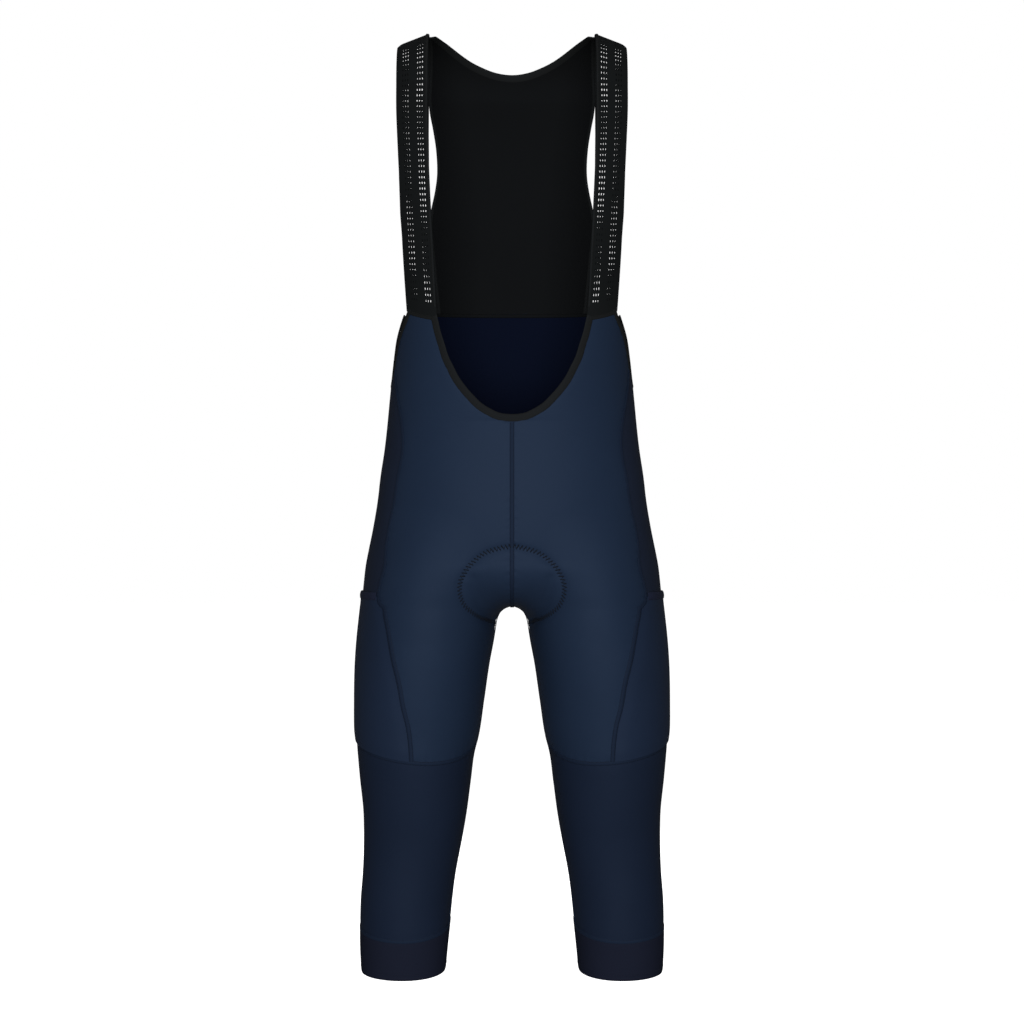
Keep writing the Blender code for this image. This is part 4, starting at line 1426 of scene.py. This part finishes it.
def flatlock(name, p, n, mirror=1):
    """A flatlock seam's band and stitches along a line."""
    w = np.linspace(-1, 1, 11)
    _, side = side_of(p, n, 1)
    beside = (w * BAND_HALF * MM)[None, :, None]
    crown = ((BAND_CROWN * (1 - np.abs(w) ** 2.6) - BAND_SUNK) * MM)[None, :, None]
    grid = p[:, None] + side[:, None] * beside + n[:, None] * crown
    normals = np.repeat(n[:, None], len(w), 1)
    seam = lay_cloth(
        f"{name}_band", grid, normals, SEAM_KNIT, thick=BAND_THICK * MM, mirror=mirror
    )
    sew(
        f"{name}_stitches", FLATLOCK, FLATLOCK_PITCH, p, n, THREAD_NAVY, mirror,
        lift=0.3,
    )


def seam_rows(rows_of, top, foot, count):
    """A side seam's points, from the armhole to the knee."""
    heights = np.linspace(top, foot, count)
    around = curve(rows_of, heights)
    return body(around, heights + knee_share(heights) * dip(around, KNEE_DIP))


front_low = np.linspace(-445.2, -560, 60)
centre_p, centre_n = body(np.zeros(60), front_low)
under_p, under_n = under_crotch(np.linspace(2, 178, 120), np.zeros((120, 1)))
rear = np.linspace(-560, -315, 110)
rear_p, rear_n = body(np.ones(110), rear)
centre_p = np.vstack([centre_p[:-1], under_p[:, 0], rear_p[1:]])
centre_n = np.vstack([centre_n[:-1], under_n[:, 0], rear_n[1:]])
centre_p[:, 0] = 0
centre_n[:, 0] = 0
centre_n = unit(centre_n)
centre_p += centre_n * pad_relief(centre_p)[:, None]
flatlock("centre_seam", centre_p, centre_n)
around = np.linspace(0, 1, 260)
for side, mirror in SIDES:
    lines = {
        "front_side_seam": seam_rows(SIDE_FRONT, -384, -803, 220),
        "back_side_seam": seam_rows(SIDE_BACK, -385, -803, 220),
        "inseam": body(np.zeros(150), np.linspace(-656, -1019, 150)),
        "knee_seam": body(around, KNEE + dip(around, KNEE_DIP)),
        "cuff_seam": body(around, CUFF_SEAM + dip(around, CUFF_DIP)),
        "waist_seam": (waist_p, waist_n),
    }
    for name, (p, n) in lines.items():
        flatlock(f"{name}_{side}", p, n, mirror)
print("seams sewn")

# %% [markdown]
# Hems and tapes are held by plain stitches, and the padding by a zigzag, which
# stretches with the cloth. Each row gives the stitch, its pitch, its line, its
# thread, the piece's slot, and how far it stands out of and beside that line.

# %% Edge stitching
edge_line = edge_p + edge_n * pad_relief(edge_p)[:, None]
cuff_hem_p, cuff_hem_n = body(around, HEM + 7 + dip(around, HEM_DIP))
for side, mirror in SIDES:
    for what, stitch, pitch, p, n, yarn, slot_name, lift, beside in (
        ("padding", ZIGZAG, 4.1, edge_line, edge_n, THREAD_PAD, "navy_knit", 0.5, 0),
        ("pocket_mouth", TOPSTITCH, 2.9, hem_p[7], hem_n[7], THREAD_NAVY, "hem_knit", 2.85, 0),
        ("cuff_hem", TOPSTITCH, 2.9, cuff_hem_p, cuff_hem_n, THREAD_NAVY, "cuff_rib", 0.5, 0),
        ("armhole", TOPSTITCH, 2.9, arm_p, arm_n, THREAD_BLACK, "binding_tape", 0.42, 1.7),
        ("strap_edge", TOPSTITCH, 2.9, inner_p, inner_n, THREAD_BLACK, "binding_tape", 0.42, -2.3),
        ("strap_end", TOPSTITCH, 2.6, end_p, end_n, THREAD_BLACK, "binding_tape", 0.78, 1.1),
    ):
        sew(f"{what}_stitches_{side}", stitch, pitch, p, n, yarn, mirror, lift, beside)
for what, p, n in (("scoop", scoop_p, scoop_n), ("neck", yoke_p[0], yoke_n[0])):
    sew(
        f"{what}_stitches", TOPSTITCH, 2.9, p, n, THREAD_BLACK,
        lift=0.42, across=-2.2,
    )
for unit_piece in (FLATLOCK, TOPSTITCH, ZIGZAG):
    bpy.data.objects.remove(unit_piece, do_unlink=True)
print("edges stitched")

# %% [markdown]
# For each piece of cloth the pieces that it rests on are listed, and the tapes
# and hems that go with the piece they edge.


for side, mirror in SIDES:
    scoop_edge = ["scoop_tape", "scoop_stitches"] if mirror > 0 else []
    for name, rests_on, edges in (
        ("front_panel", ["shoulder_strap"], []),
        ("back_panel", ["shoulder_strap"], []),
        ("side_panel", ["front_panel"], ["armhole_tape", "armhole_stitches"]),
        ("thigh_pocket", ["side_panel"], ["pocket_mouth", "pocket_mouth_stitches"]),
        ("lower_leg", ["front_panel"], []),
        ("gripper_cuff", ["lower_leg"], ["cuff_hem_stitches"]),
    ):
        rests_on = [f"{piece}_{side}" for piece in rests_on]
        edges = [f"{piece}_{side}" for piece in edges]
        rests_on += ["back_piece"] if name == "back_panel" else []
        edges += scoop_edge if name == "front_panel" else []
    strap = bpy.data.objects[f"shoulder_strap_{side}"]
    edges = ("strap_edge", "strap_edge_stitches", "strap_end", "strap_end_stitches")

# %% [markdown]
# The floor and the background are plain white paper, which is bright only to
# the eye: neither throws light on the cloth, so its edges fall off to dark. A
# large soft light in front gives the broad shine, and a weak one is behind.

# %% Floor and light
clear_selection()
bpy.ops.mesh.primitive_plane_add(size=40, location=(0, 0, -1.35))
floor = bpy.context.object
floor.name = "floor"
paper, shader = new_material("white_paper", Roughness=0.9)
shader.inputs["Base Color"].default_value = screen("#F4F4F4")
shader.inputs["Emission Color"].default_value = (1, 1, 1, 1)
shader.inputs["Emission Strength"].default_value = 1.0
floor.data.materials.append(paper)
floor.visible_diffuse = floor.visible_glossy = False


def soft_light(name, place, turn, size, energy):
    """A square area light, turned by degrees, with its size in metres."""
    turn = [math.radians(a) for a in turn]
    bpy.ops.object.light_add(type="AREA", location=place, rotation=turn)
    light = bpy.context.object
    light.name = name
    light.data.size, light.data.energy = size, energy
    light.data.shape = "SQUARE"
    return light


soft_light("front_light", (0, -3.4, -0.32), (86, 0, 0), 2.0, 81)
back = soft_light("back_light", (0, 3.4, 0.3), (-80, 0, 0), 2.2, 45)
back.visible_glossy = False
soft_light("top_light", (0, 0, 2.2), (0, 0, 0), 2.0, 5)

world = bpy.data.worlds.new("studio")
world.use_nodes = True
background = world.node_tree.nodes["Background"]
background.inputs["Color"].default_value = (1, 1, 1, 1)
path = add_node(world, "ShaderNodeLightPath")
bright = add_node(
    world,
    "ShaderNodeMapRange",
    {"Value": path.outputs["Is Camera Ray"], "To Min": 0.09, "To Max": 1.0},
)
world.node_tree.links.new(bright.outputs["Result"], background.inputs["Strength"])
bpy.context.scene.world = world
bpy.context.scene.view_settings.view_transform = "Standard"
